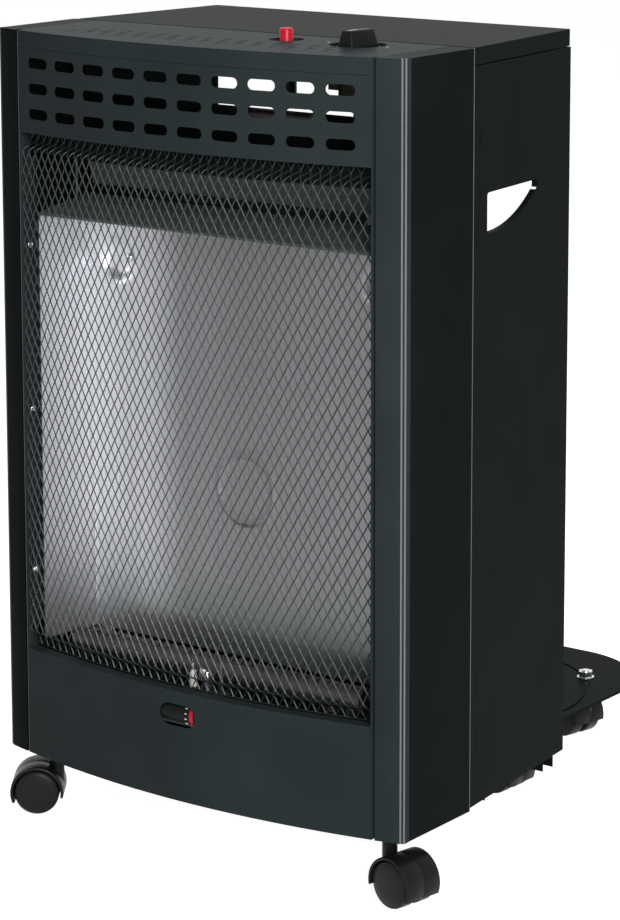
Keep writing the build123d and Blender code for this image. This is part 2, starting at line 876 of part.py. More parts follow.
def make_rear_side():
    """Plain panel with flanges above and below, a rimmed grip and hinge knuckles."""
    plane = side_plane()
    with BuildPart() as side:
        with BuildSketch(Plane.XY.offset(side_bottom)):
            with BuildLine():
                Line((side_half, depth(side_start)), (side_half_rear, depth(side_end)))
                offset(amount=sheet, side=Side.LEFT)
            make_face()
        extrude(amount=side_top - side_bottom)
        for low in (side_bottom, side_top - sheet):
            with BuildSketch(Plane.XY.offset(low)):
                with BuildLine():
                    Polyline(*strip_inside(side_flange), close=True)
                make_face()
            extrude(amount=sheet)
        extrude(grip_face(sheet), amount=-grip_rim)
        extrude(grip_face(0), amount=-grip_rim, mode=Mode.SUBTRACT)
        for height in side_hinge_heights:
            for turn in (-1, 1):
                low = height + turn * (knuckle_tall / 2 + knuckle_gap)
                with BuildSketch(Plane.XY.offset(low)):
                    with Locations((side_axis_x, depth(side_axis_depth))):
                        Circle(side_knuckle)
                    with Locations(((side_axis_x + side_half - sheet) / 2, depth(side_axis_depth))):
                        Rectangle(side_half - sheet - side_axis_x, side_knuckle)
                extrude(amount=turn * knuckle_tall)
            with BuildSketch(Plane.XY.offset(height)):
                with Locations((side_axis_x, depth(side_axis_depth))):
                    Circle(side_pin + running_gap)
            extrude(amount=2 * knuckle_tall, both=True, mode=Mode.SUBTRACT)
    return side.part


def make_rear_top_cover():
    """Pressed cover over the rear bay, skirted at its sides and its back."""
    start = depth(cover_start)
    end = depth(side_end)
    corners = ((-side_half, start), (side_half, start), (side_half_rear, end), (-side_half_rear, end))
    with BuildPart() as cover:
        with BuildSketch(Plane.XY.offset(cabinet_top - top_skirt)):
            with BuildLine():
                Polyline(*corners, close=True)
            make_face()
        extrude(amount=top_skirt)
        fillet(cover.edges().filter_by(Axis.Z).group_by(Axis.Y)[-1], radius=bead_radius)
        openings = [cover.faces().sort_by(Axis.Z)[0], cover.faces().sort_by(Axis.Y)[0]]
        offset(amount=-sheet, openings=openings)
        for side in (-1, 1):
            for turn in (-1, 1):
                reach = turn * (knuckle_wide / 2 + knuckle_gap)
                with BuildSketch(across(side * cover_hinge_x + reach, cover_axis_depth, cover_axis_z)):
                    Circle(cover_knuckle)
                    with Locations((0, (cabinet_top - sheet - cover_axis_z) / 2)):
                        Rectangle(1.6 * cover_knuckle, cabinet_top - sheet - cover_axis_z)
                extrude(amount=turn * knuckle_wide)
            with BuildSketch(across(side * cover_hinge_x, cover_axis_depth, cover_axis_z)):
                Circle(cover_pin + running_gap)
            extrude(amount=2 * knuckle_wide, both=True, mode=Mode.SUBTRACT)
    return finish(cover.part, "rear_top_cover")


def make_hinge_pins():
    with BuildPart() as upright:
        for height in side_hinge_heights:
            low = height - 1.5 * knuckle_tall
            with BuildSketch(Plane.XY.offset(low)):
                with Locations(*[(side * side_axis_x, depth(side_axis_depth)) for side in (-1, 1)]):
                    Circle(side_pin)
            extrude(amount=3 * knuckle_tall)
    finish(upright.part, "side_hinge_pins")
    with BuildPart() as level:
        for side in (-1, 1):
            with BuildSketch(across(side * cover_hinge_x, cover_axis_depth, cover_axis_z)):
                Circle(cover_pin)
            extrude(amount=1.5 * knuckle_wide, both=True)
    finish(level.part, "cover_hinge_pins")


# ================= bottle tray =================


def make_tray_hinge_brackets():
    """Arms under the base pan, each with a riveted pin for the tray."""
    arm_top = body_bottom - fit
    with BuildPart() as brackets:
        for side in (-1, 1):
            with BuildSketch(across(side * arm_x, 0, 0)):
                with BuildLine():
                    Polyline(
                        (unit_depth / 2, arm_top),
                        (unit_depth - sheet, arm_top),
                        (tray_axis_depth, tray_axis_z + tray_lug),
                        (tray_axis_depth, tray_axis_z - tray_lug),
                        (unit_depth / 2, tray_axis_z),
                        close=True,
                    )
                make_face()
                with Locations((tray_axis_depth, tray_axis_z)):
                    Circle(tray_lug)
            extrude(amount=arm_width / 2, both=True)
            with BuildSketch(Plane.XY.offset(arm_top - 2 * sheet)):
                with Locations((side * arm_x, depth(0.75 * unit_depth - sheet))):
                    Rectangle(6 * arm_width, unit_depth / 2 - sheet)
            extrude(amount=2 * sheet)
            with BuildSketch(across(side * arm_x, tray_axis_depth, tray_axis_z)):
                Circle(tray_pin)
            extrude(amount=2 * arm_width, both=True)
    return finish(brackets.part, "tray_hinge_brackets")


def make_bottle_tray():
    """Tongue-shaped plate with a pressed seat, round rear corners and hinge lugs."""
    lug_back = channel_depths[0] - channel_width / 2 - fit
    with BuildPart() as tray:
        with BuildSketch(Plane.XY.offset(tray_bottom)) as outline:
            with Locations((0, depth((tray_start + tray_end) / 2))):
                Rectangle(2 * tray_half, tray_end - tray_start)
            fillet(outline.vertices().group_by(Axis.Y)[-1], radius=tray_corner)
            for stem in (middle_stem, rear_stem):
                with Locations((-stem[0], depth(stem[1])), (stem[0], depth(stem[1]))):
                    Circle(stem_radius + running_gap, mode=Mode.SUBTRACT)
        extrude(amount=tray_thickness)
        with BuildSketch(Plane.XY.offset(tray_top)):
            with Locations((0, depth(seat_depth))):
                Circle(seat_radius)
                Circle(seat_radius - seat_groove, mode=Mode.SUBTRACT)
        extrude(amount=-sheet, mode=Mode.SUBTRACT)
        for side in (-1, 1):
            for turn in (-1, 1):
                reach = turn * (arm_width / 2 + knuckle_gap)
                with BuildSketch(across(side * arm_x + reach, 0, 0)):
                    with Locations((tray_axis_depth, tray_axis_z)):
                        Circle(tray_lug)
                    with BuildLine():
                        Polyline(
                            (tray_axis_depth, tray_axis_z - tray_lug),
                            (lug_back, tray_axis_z - tray_lug),
                            (lug_back, tray_top),
                            (tray_start, tray_top),
                            (tray_start, tray_axis_z + tray_lug),
                            (tray_axis_depth, tray_axis_z + tray_lug),
                            close=True,
                        )
                    make_face()
                extrude(amount=turn * 3 * sheet)
            with BuildSketch(across(side * arm_x, tray_axis_depth, tray_axis_z)):
                Circle(tray_pin + running_gap)
            extrude(amount=3 * arm_width, both=True, mode=Mode.SUBTRACT)
    return finish(tray.part, "bottle_tray")


def make_tray_channels():
    """Two cross channels under the tray, open below."""
    top = tray_bottom - fit
    with BuildPart() as channels:
        for distance in channel_depths:
            with BuildSketch(across(-channel_half, distance, top - channel_depth / 2)):
                Rectangle(channel_width, channel_depth)
                with Locations((0, -sheet)):
                    Rectangle(channel_width - 2 * sheet, channel_depth, mode=Mode.SUBTRACT)
            extrude(amount=2 * channel_half)
    return finish(channels.part, "tray_channels")


# ================= casters =================


def add_stem(x, y, seat_bottom, seat_top):
    """Stem with a ring under the plate and a flange nut on top of it."""
    ring_low = socket_top + fit
    with Locations((x, y, 0)):
        with Locations((0, 0, socket_top - stem_depth)):
            height = seat_top + nut_height + sheet - socket_top + stem_depth
            Cylinder(stem_radius, height, align=(Align.CENTER, Align.CENTER, Align.MIN))
        with Locations((0, 0, ring_low)):
            Cylinder(nut_flat, seat_bottom - fit - ring_low, align=(Align.CENTER, Align.CENTER, Align.MIN))
        with Locations((0, 0, seat_top + fit)):
            Cylinder(nut_flange, sheet, align=(Align.CENTER, Align.CENTER, Align.MIN))
    with BuildSketch(Plane.XY.offset(seat_top + fit)) as hexagon:
        with Locations((x, y)):
            RegularPolygon(radius=nut_flat, side_count=6, major_radius=False)
    extrude(hexagon.sketch, amount=nut_height - fit)


def make_stems():
    with BuildPart() as fixed:
        for side in (-1, 1):
            add_stem(side * front_stem[0], depth(front_stem[1]), body_bottom, body_bottom + sheet)
    finish(fixed.part, "front_caster_stems")
    with BuildPart() as folding:
        for stem in (middle_stem, rear_stem):
            for side in (-1, 1):
                add_stem(side * stem[0], depth(stem[1]), tray_bottom, tray_top)
    finish(folding.part, "tray_caster_stems")


def make_caster(name, x, y, heading):
    """Twin wheel caster; heading is the way its wheels trail, in degrees."""
    turn = radians(heading)
    along = (cos(turn), sin(turn), 0)
    axle_plane = Plane(
        origin=(x + trail * along[0], y + trail * along[1], wheel_radius),
        x_dir=along,
        z_dir=(sin(turn), -cos(turn), 0),
    )
    reach = 2 * hood_radius
    ahead = radians(hood_front_angle)
    behind = radians(hood_back_angle)
    wheel_start = web_half + wheel_gap
    axle_half = hood_half - axle_radius - fit
    with BuildPart() as hood:
        with BuildSketch(axle_plane):
            Circle(hood_radius)
        extrude(amount=hood_half, both=True)
        with BuildSketch(Plane.XY.offset(wheel_radius)):
            with Locations((x, y)):
                Circle(socket_radius)
        extrude(amount=socket_top - wheel_radius)
        for side in (-1, 1):
            with BuildSketch(axle_plane.offset(side * web_half)):
                Circle(hood_radius - hood_wall)
            extrude(amount=side * hood_half, mode=Mode.SUBTRACT)
        with BuildSketch(axle_plane):
            with BuildLine():
                Polyline(
                    (0, 0),
                    (reach * cos(ahead), reach * sin(ahead)),
                    (reach, -reach),
                    (-reach, -reach),
                    (reach * cos(behind), reach * sin(behind)),
                    close=True,
                )
            make_face()
        extrude(amount=2 * hood_half, both=True, mode=Mode.SUBTRACT)
        with BuildSketch(axle_plane):
            Circle(3 * axle_radius)
        extrude(amount=web_half, both=True)
        with BuildSketch(axle_plane):
            Circle(axle_radius + running_gap)
        extrude(amount=hood_half, both=True, mode=Mode.SUBTRACT)
        with BuildSketch(Plane.XY.offset(socket_top)):
            with Locations((x, y)):
                Circle(stem_radius + running_gap)
        extrude(amount=-stem_depth - fit, mode=Mode.SUBTRACT)
    finish(hood.part, f"{name}_caster_hood")
    with BuildPart() as axle:
        with BuildSketch(axle_plane):
            Circle(axle_radius)
        extrude(amount=axle_half, both=True)
    finish(axle.part, f"{name}_caster_axle")
    for side, place in ((1, "near"), (-1, "far")):
        with BuildPart() as wheel:
            with BuildSketch(axle_plane.offset(side * wheel_start)):
                Circle(wheel_radius)
            extrude(amount=side * (hood_half - wheel_start))
            rim = wheel.edges().sort_by(Axis(axle_plane.origin, axle_plane.z_dir))[-1 if side > 0 else 0]
            fillet(rim, radius=2.5)
            with BuildSketch(axle_plane.offset(side * wheel_start)):
                Circle(axle_radius + running_gap)
            extrude(amount=side * (axle_half + fit - wheel_start), mode=Mode.SUBTRACT)
        finish(wheel.part, f"{name}_caster_{place}_wheel")


def make_casters():
    rows = (("front", front_stem, -11, 216), ("middle", middle_stem, -4, 200), ("rear", rear_stem, 166, 150))
    for row, stem, right_heading, left_heading in rows:
        make_caster(f"{row}_right", stem[0], depth(stem[1]), right_heading)
        make_caster(f"{row}_left", -stem[0], depth(stem[1]), left_heading)


def main():
    mirrored(finish(make_side_panel(), "right_side_panel"), "left_side_panel")
    make_base_pan()
    make_control_top()
    make_upper_grille()
    make_lower_front_panel()
    make_mesh_guard()
    make_guard_rails()
    make_reflector()
    make_lower_deflector()
    make_upper_deflector()
    make_rear_shield()
    make_firebox_floor()
    make_burner_tube()
    make_pilot_parts()
    make_indicator_drum()
    make_gas_valve()
    make_valve_spindle()
    make_control_knob()
    make_igniter()
    make_gas_pipe()
    make_hose_inlet()
    make_panel_screws()
    mirrored(finish(make_rear_side(), "right_rear_side"), "left_rear_side")
    make_rear_top_cover()
    make_hinge_pins()
    make_tray_hinge_brackets()
    make_bottle_tray()
    make_tray_channels()
    make_stems()
    make_casters()


main()
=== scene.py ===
import json
from math import cos, pi, radians, sin, sqrt

import bmesh
import bpy
from bpy.props import FloatProperty, FloatVectorProperty, IntProperty, PointerProperty
from mathutils import Matrix, Vector


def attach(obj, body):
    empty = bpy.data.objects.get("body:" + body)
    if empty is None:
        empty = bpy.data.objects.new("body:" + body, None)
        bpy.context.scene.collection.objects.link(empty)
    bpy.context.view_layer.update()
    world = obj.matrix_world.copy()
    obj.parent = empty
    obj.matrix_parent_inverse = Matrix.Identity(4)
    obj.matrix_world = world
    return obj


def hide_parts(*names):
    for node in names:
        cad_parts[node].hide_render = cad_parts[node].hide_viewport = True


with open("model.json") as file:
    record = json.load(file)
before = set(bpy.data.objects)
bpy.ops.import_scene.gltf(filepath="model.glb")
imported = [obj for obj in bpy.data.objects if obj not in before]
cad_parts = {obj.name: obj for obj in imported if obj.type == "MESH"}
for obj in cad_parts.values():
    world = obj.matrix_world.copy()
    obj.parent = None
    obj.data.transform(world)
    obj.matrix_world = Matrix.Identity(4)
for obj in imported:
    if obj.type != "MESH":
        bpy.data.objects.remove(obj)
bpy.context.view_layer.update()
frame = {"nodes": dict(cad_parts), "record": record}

bl_info = {
    "name": "Folding cabinet heater dressing",
    "version": (1, 0, 0),
    "blender": (4, 5, 0),
    "location": "3D View > Sidebar > Heater",
    "description": "Fine mesh guard, controls, casters and finishes of a folding gas cabinet heater",
    "category": "Object",
}

# ---- sizes shared with the frame, in metres; distances run back from the beads ----
FRONT_Y = -0.274            # plane of the posts' corner beads
BOW_RADIUS = 0.8841
BOW_AXIS_Y = FRONT_Y - 0.030 + BOW_RADIUS
PANEL_HALF = 0.196          # half width of the bowed panels
GUARD_LOW = 0.1653
GUARD_HIGH = 0.6477
GUARD_INSET = 0.003         # how far the guard lies behind the panels
GUARD_BORDER = 0.023        # width of its upper and lower border, measured along the sheet
JOGGLE_SLOPE = radians(62)  # the border is set back by two bends with a straight piece between
JOGGLE_BEND = 0.003
JOGGLE_STRAIGHT = 0.010
JOGGLE_RISE = 0.83          # how far a bend takes the sheet up and back, per metre along it
JOGGLE_BACK = 0.5
JOGGLE_CUTS = (0.0, 0.0015, 0.003, 0.008, 0.013, 0.0145, 0.016)
CABINET_TOP = 0.740
BODY_BOTTOM = 0.064
POST_INNER = 0.199
HALF_WIDTH = 0.225
RAIL_LOW = 0.1896
RAIL_HIGH = 0.6234
WALL_INNER = 0.1932         # inner face of the guard's walls
FLOOR_TOP = 0.157
UNIT_DEPTH = 0.102          # from the beads to the inner face of the rear shield
KNOB = (0.127, FRONT_Y + 0.068)
BUTTON = (0.050, FRONT_Y + 0.068)
DRUM = (FRONT_Y - 0.016, 0.143)
DRUM_RADIUS = 0.0127
DRUM_HALF = 0.022
DRUM_BAND = (0.0125, 0.0165)
DRUM_TICKS = (-34, -12, 10, 32)     # degrees round the drum
GRIP = (0.0175, 0.036, 0.0158)      # the knob's grip bar
GRIP_TOP = (0.66, 0.84)             # what is left of its width and length at the top
DIAL_DOTS = (175, -6)               # degrees round the knob
DIAL_RADIUS = 0.0335
WALL_SCREWS = (0.2385, 0.391, 0.5435)
DISH_SCREW = (0.141, FRONT_Y + 0.0797, 0.526)
FLOOR_SCREWS = (-0.15088, -0.03936, 0.0902)
SCREW_TURN = 0.9            # each screw's cross is turned by this much more
PILOT = (0.006, FRONT_Y + 0.006)
WHEEL_HEIGHT = 0.021
TRAIL = 0.018               # from a caster's stem to its axle
HOOD_START = radians(-23)
HOOD_SWEEP = radians(214)
CASTERS = {                 # x of the stem, its distance, heading in degrees
    "front_right": (0.192, 0.026, -11),
    "front_left": (-0.192, 0.026, 216),
    "middle_right": (0.098, 0.322, -4),
    "middle_left": (-0.098, 0.322, 200),
    "rear_right": (0.098, 0.500, 166),
    "rear_left": (-0.098, 0.500, 150),
}

# ---- the reflector, in metres ----
REFLECTOR_MIDDLE = 0.3705
REFLECTOR_HALF_HEIGHT = 0.1995
REFLECTOR_HALF_BACK = 0.180
REFLECTOR_BACK = 0.072      # distance of its back
WING_LENGTH = 0.0636
WING_OUT = 0.135            # sine and cosine of the wings' slant
WING_FORWARD = 0.991
DISH_X = 0.150
DISH_HEIGHT = 0.525
DISH_RADIUS = 0.0245
DISH_WALL = 0.014
DISH_DEPTH = 0.0085
RING_HEIGHT = 0.328
RING_RADIUS = 0.0315
RING_HALF_WIDTH = 0.0036
RING_RELIEF = 0.0022

# ---- the plates above the reflector, in metres ----
SLOPE_HALF = 0.190
STEEP_HALF = 0.168
SHELF = 0.5960
PIPE_GAP = (0.118, 0.136)   # the gas pipe passes the shelf here
TAPER_DEPTH = 0.056         # a plate reaches its full taper over this distance

# ---- finishes: painted highlights along the folds, painted light and reflection across the reflector ----
PAINTED_FOLD_HIGHLIGHTS = (            # painted highlights: x from and to, distance from and to; a negative x is at the left only
    (0.2218, 0.2226, -0.0022, -0.0006),
    (0.2243, 0.2260, -0.0004, 0.0012),
    (-0.1966, -0.1958, -0.0090, -0.0078),
    (0.2226, 0.2252, 0.1006, 0.1036),
)
REFLECTOR_PAINTED_LIGHT = (         # painted light and reflection: share of the way from left to right, share of the steel's colour
    (0.0, 1.18), (0.16, 1.08), (0.32, 0.44), (0.5, 0.37), (1.0, 0.46))
PAINTED_LIGHT_HALF = 0.185          # half width over which the painted light runs
LOW_TONE_HEIGHTS = (0.12, 0.27)        # the darker tone fades upwards between these heights
RELIEF_DEPTH = 0.0002
SHEET_ANGLE = radians(25)   # a sheet's edge above this angle stays sharp
FINISHES = {}

# ---- stage: place, target and size of each lamp, in metres ----
KEY_LAMP = ((2.35, -2.3, 1.5), (0, -0.2, 0.4), (1.4, 1.6))
TOP_LAMP = ((-0.6, 0.6, 3.0), (0, 0.1, 0.5), (1.6, 1.6))
TOP_SHARE = 0.22            # of the key lamp's power
FLOOR_GLOW = 0.87


# ================= settings =================


class HeaterColours(bpy.types.PropertyGroup):
    # the right post takes this coat as painted light; the left post takes the shell's coat as painted shade
    panel: FloatVectorProperty(
        name="Front panels", description="Satin coat of the bowed panels and the right post",
        subtype="COLOR", size=3, min=0, max=1, default=(0.0195, 0.0255, 0.0265))
    shell: FloatVectorProperty(
        name="Rear shell", description="Satin coat of the sides, left post, cover and tray",
        subtype="COLOR", size=3, min=0, max=1, default=(0.0048, 0.0070, 0.0067))
    steel: FloatVectorProperty(
        name="Reflector", description="Bright steel behind the burner",
        subtype="COLOR", size=3, min=0, max=1, default=(0.66, 0.66, 0.69))
    # colour of the reflector towards its bottom: the steel is darker towards the bottom
    low_tone: FloatVectorProperty(
        name="Heat stain", description="Steel that has darkened near the flames",
        subtype="COLOR", size=3, min=0, max=1, default=(0.20, 0.21, 0.21))
    button: FloatVectorProperty(
        name="Igniter button", description="Red moulded button",
        subtype="COLOR", size=3, min=0, max=1, default=(0.46, 0.004, 0.020))


class HeaterGuard(bpy.types.PropertyGroup):
    cell_width: FloatProperty(
        name="Cell width", description="Width of one diamond of the guard",
        unit="LENGTH", min=0.004, max=0.04, default=0.0093)
    cell_height: FloatProperty(
        name="Cell height", description="Height of one diamond of the guard",
        unit="LENGTH", min=0.006, max=0.06, default=0.0165)
    strand: FloatProperty(
        name="Strand", description="Width of a strand of the expanded metal",
        unit="LENGTH", min=0.0004, max=0.004, default=0.0020)


class HeaterTrim(bpy.types.PropertyGroup):
    fold_radius: FloatProperty(
        name="Fold radius", description="Rounding of the folds of the posts",
        unit="LENGTH", min=0.0002, max=0.0012, default=0.0007)
    knob_radius: FloatProperty(
        name="Knob radius", description="Radius of the knob's round base",
        unit="LENGTH", min=0.015, max=0.022, default=0.0218)
    knob_angle: FloatProperty(
        name="Knob angle", description="Turn of the grip bar at the off position",
        unit="ROTATION", default=radians(-5))
    wheel_steps: IntProperty(
        name="Wheel steps", description="Facets round a caster wheel", min=24, max=96, default=56)
    screw_radius: FloatProperty(
        name="Screw radius", description="Radius of a pan head screw",
        unit="LENGTH", min=0.002, max=0.005, default=0.0034)


class HeaterStudio(bpy.types.PropertyGroup):
    place: FloatVectorProperty(
        name="Camera", description="Place of the camera", subtype="TRANSLATION", unit="LENGTH", size=3,
        default=(1.6947, -2.3756, 1.0200))
    turn: FloatVectorProperty(
        name="Camera turn", description="Turn of the camera", subtype="EULER", size=3,
        default=(pi / 2 - 0.1633, 0.0019, 0.6409))
    lens: FloatProperty(name="Lens", description="Focal length of the camera in millimetres", default=122.6)
    rise: FloatProperty(name="Rise", description="Upward shift of the view", default=-0.25)
    daylight: FloatProperty(name="Daylight", description="Even light from all round", min=0, default=0.15)
    key: FloatProperty(
        name="Key lamp", description="Power of the broad lamp in front", unit="POWER", default=116)


# ================= finishes =================


def start_finish(name, metallic, specular=0.5):
    """New material, with its metal and its gloss set on the shader."""
    finish = bpy.data.materials.new(name)
    finish.use_nodes = True
    shader = finish.node_tree.nodes["Principled BSDF"]
    shader.inputs["Metallic"].default_value = metallic
    shader.inputs["Specular IOR Level"].default_value = specular
    return finish, finish.node_tree.nodes, finish.node_tree.links, shader


def surface_place(nodes, links, stretch=(1, 1, 1)):
    """Where a point lies on the heater, stretched so that a grain can run one way."""
    coordinates = nodes.new("ShaderNodeTexCoord")
    mapping = nodes.new("ShaderNodeMapping")
    mapping.inputs["Scale"].default_value = stretch
    links.new(coordinates.outputs["Object"], mapping.inputs["Vector"])
    return mapping.outputs["Vector"]


def parts_of(nodes, links, place):
    """X, Y and Z of a place."""
    split = nodes.new("ShaderNodeSeparateXYZ")
    links.new(place, split.inputs["Vector"])
    return split.outputs["X"], split.outputs["Y"], split.outputs["Z"]


def noise(nodes, links, place, scale, detail=3.0, rough=0.55):
    """Cloudy pattern from 0 to 1."""
    grain = nodes.new("ShaderNodeTexNoise")
    grain.inputs["Scale"].default_value = scale
    grain.inputs["Detail"].default_value = detail
    grain.inputs["Roughness"].default_value = rough
    links.new(place, grain.inputs["Vector"])
    return grain.outputs["Fac"]


def between(nodes, links, value, low, high, start=0.3, end=0.7):
    """Spreads a value that runs from start to end over low to high."""
    spread = nodes.new("ShaderNodeMapRange")
    spread.inputs["From Min"].default_value = start
    spread.inputs["From Max"].default_value = end
    spread.inputs["To Min"].default_value = low
    spread.inputs["To Max"].default_value = high
    links.new(value, spread.inputs["Value"])
    return spread.outputs["Result"]


def blend_colours(nodes, links, factor, first, second):
    """Mix of two colours, each a tuple or the colour that comes out of a node."""
    mixer = nodes.new("ShaderNodeMix")
    mixer.data_type = "RGBA"
    links.new(factor, mixer.inputs["Factor"])
    for name, colour in (("A", first), ("B", second)):
        socket = [item for item in mixer.inputs if item.name == name and item.type == "RGBA"][0]
        if isinstance(colour, bpy.types.NodeSocket):
            links.new(colour, socket)
        else:
            socket.default_value = (*colour, 1)
    return [item for item in mixer.outputs if item.type == "RGBA"][0]


def combine(nodes, links, operation, first, second):
    """Sum, product or larger one of two values."""
    joint = nodes.new("ShaderNodeMath")
    joint.operation = operation
    links.new(first, joint.inputs[0])
    links.new(second, joint.inputs[1])
    return joint.outputs["Value"]


def add_relief(nodes, links, shader, height, strength, depth=RELIEF_DEPTH):
    """Fine relief of the surface."""
    bump = nodes.new("ShaderNodeBump")
    bump.inputs["Distance"].default_value = depth
    bump.inputs["Strength"].default_value = strength
    links.new(height, bump.inputs["Height"])
    links.new(bump.outputs["Normal"], shader.inputs["Normal"])


def inside(nodes, links, value, low, high, soft=0.0002):
    """1 where the value lies between low and high, with soft ends."""
    past_low = between(nodes, links, value, 0, 1, low - soft, low)
    before_high = between(nodes, links, value, 1, 0, high, high + soft)
    return combine(nodes, links, "MULTIPLY", past_low, before_high)


def painted_fold_highlights(nodes, links, place):
    """1 along the folds where pale highlights are painted: posts' beads, left panel ends, rear corners."""
    x, y, _ = parts_of(nodes, links, place)
    side = nodes.new("ShaderNodeMath")
    side.operation = "ABSOLUTE"
    links.new(x, side.inputs[0])
    total = None
    for low, high, near, far in PAINTED_FOLD_HIGHLIGHTS:
        across = inside(nodes, links, x if low < 0 else side.outputs["Value"], low, high)
        along = inside(nodes, links, y, FRONT_Y + near, FRONT_Y + far)
        band = combine(nodes, links, "MULTIPLY", across, along)
        total = band if total is None else combine(nodes, links, "MAXIMUM", total, band)
    return total


def powder_coat(name, colour, specular=0.012, rough=(0.36, 0.48), lift=1.3, fold_highlight=(0.17, 0.17, 0.19)):
    """Baked satin coat: fine orange peel, slight cloudiness, painted highlights along the folds."""
    finish, nodes, links, shader = start_finish(name, 0.0, specular)
    place = surface_place(nodes, links)
    clouds = noise(nodes, links, place, 9.0, 2.0)
    peel = noise(nodes, links, place, 1100.0, 2.0)
    light = tuple(min(1.0, part * lift) for part in colour)
    tint = blend_colours(nodes, links, between(nodes, links, clouds, 0, 1), colour, light)
    # painted highlights: pale lines along the folds of the posts, the left panel ends and the rear corners
    if fold_highlight:
        tint = blend_colours(nodes, links, painted_fold_highlights(nodes, links, place), tint, fold_highlight)
    links.new(tint, shader.inputs["Base Color"])
    links.new(between(nodes, links, peel, *rough), shader.inputs["Roughness"])
    add_relief(nodes, links, shader, peel, 0.06)
    return finish


def drawn_metal(name, colour, dull, rough, stretch, strength=0.05):
    """Drawn or turned metal: fine lines one way, broad dull patches."""
    finish, nodes, links, shader = start_finish(name, 1.0)
    place = surface_place(nodes, links)
    patches = noise(nodes, links, place, 14.0, 4.0)
    lines = noise(nodes, links, surface_place(nodes, links, stretch), 1.0, 2.0)
    tint = blend_colours(nodes, links, between(nodes, links, patches, 0, 1), colour, dull)
    links.new(tint, shader.inputs["Base Color"])
    links.new(between(nodes, links, lines, *rough), shader.inputs["Roughness"])
    add_relief(nodes, links, shader, lines, strength)
    return finish


def reflector_steel(name, colour, low_tone):
    """Bright rolled steel, darker towards the bottom; painted light and reflection make it bright at the left
    and darker to the right.
    """
    finish, nodes, links, shader = start_finish(name, 0.8, 0.3)
    place = surface_place(nodes, links)
    x, _, z = parts_of(nodes, links, place)
    clouds = noise(nodes, links, place, 7.0, 3.0)
    lines = noise(nodes, links, surface_place(nodes, links, (30, 30, 700)), 1.0, 2.0)
    height = combine(nodes, links, "ADD", z, between(nodes, links, clouds, -0.03, 0.03))
    # painted light and reflection: the steel's colour is brighter at the left and darker to the right
    painted_light = nodes.new("ShaderNodeValToRGB")
    ramp = painted_light.color_ramp
    ramp.interpolation = "EASE"
    for along, _ in REFLECTOR_PAINTED_LIGHT[1:-1]:
        ramp.elements.new(along)
    for stop, (_, share) in zip(ramp.elements, REFLECTOR_PAINTED_LIGHT):
        stop.color = (*[min(0.96, share * part) for part in colour], 1)
    links.new(between(nodes, links, x, 0, 1, -PAINTED_LIGHT_HALF, PAINTED_LIGHT_HALF), painted_light.inputs["Fac"])
    # darker towards the bottom, fading upwards
    rise = between(nodes, links, height, 0, 1, *LOW_TONE_HEIGHTS)
    tint = blend_colours(nodes, links, rise, low_tone, painted_light.outputs["Color"])
    links.new(tint, shader.inputs["Base Color"])
    links.new(between(nodes, links, lines, 0.30, 0.42), shader.inputs["Roughness"])
    add_relief(nodes, links, shader, lines, 0.04)
    return finish


def zinc_crystals(nodes, links, place, scale):
    """Tone and gloss of flat zinc crystals."""
    crystals = nodes.new("ShaderNodeTexVoronoi")
    crystals.inputs["Scale"].default_value = scale
    links.new(place, crystals.inputs["Vector"])
    channels = nodes.new("ShaderNodeSeparateColor")
    links.new(crystals.outputs["Color"], channels.inputs["Color"])
    return channels.outputs["Red"], channels.outputs["Green"]


def dark_faced_shield(name, outer, inner):
    """Galvanised sheet, dark on the face towards the firebox."""
    finish, nodes, links, shader = start_finish(name, 0.6, 0.2)
    place = surface_place(nodes, links)
    tone, gloss = zinc_crystals(nodes, links, place, 90.0)
    bright = tuple(1.2 * part for part in outer)
    zinc = blend_colours(nodes, links, tone, outer, bright)
    y = parts_of(nodes, links, place)[1]
    # the face towards the firebox is darker than the zinc
    back = between(nodes, links, y, 0, 1, FRONT_Y + UNIT_DEPTH, FRONT_Y + UNIT_DEPTH + 0.0004)
    links.new(blend_colours(nodes, links, back, inner, zinc), shader.inputs["Base Color"])
    links.new(between(nodes, links, gloss, 0.35, 0.55, 0, 1), shader.inputs["Roughness"])
    add_relief(nodes, links, shader, noise(nodes, links, place, 600.0), 0.08)
    return finish


def spangled_zinc(name, light, dark, rough, scale):
    """Zinc: flat crystals of different tone and gloss."""
    finish, nodes, links, shader = start_finish(name, 1.0)
    place = surface_place(nodes, links)
    tone, gloss = zinc_crystals(nodes, links, place, scale)
    links.new(blend_colours(nodes, links, tone, light, dark), shader.inputs["Base Color"])
    links.new(between(nodes, links, gloss, *rough, 0, 1), shader.inputs["Roughness"])
    add_relief(nodes, links, shader, noise(nodes, links, place, 600.0), 0.08)
    return finish


def moulded_plastic(name, colour, rough=(0.28, 0.4), specular=0.4, grain=1400.0, strength=0.08):
    """Injection moulded plastic: faint flow shading and a fine spark-eroded grain."""
    finish, nodes, links, shader = start_finish(name, 0.0, specular)
    place = surface_place(nodes, links)
    flow = noise(nodes, links, place, 30.0, 2.0)
    pits = noise(nodes, links, place, grain, 2.0)
    light = tuple(min(1.0, part * 1.25) for part in colour)
    tint = blend_colours(nodes, links, between(nodes, links, flow, 0, 1), colour, light)
    links.new(tint, shader.inputs["Base Color"])
    links.new(between(nodes, links, pits, *rough), shader.inputs["Roughness"])
    add_relief(nodes, links, shader, pits, strength)
    return finish


def heat_stained(name, cool, hot, rough=(0.35, 0.55)):
    """Burner steel: uneven dark stains along the tube."""
    finish, nodes, links, shader = start_finish(name, 0.85)
    place = surface_place(nodes, links, (1, 3, 3))
    bands = noise(nodes, links, place, 26.0, 4.0)
    scale = noise(nodes, links, place, 420.0, 3.0)
    tint = blend_colours(nodes, links, between(nodes, links, bands, 0, 1), cool, hot)
    links.new(tint, shader.inputs["Base Color"])
    links.new(between(nodes, links, scale, *rough), shader.inputs["Roughness"])
    add_relief(nodes, links, shader, scale, 0.15, 0.0003)
    return finish


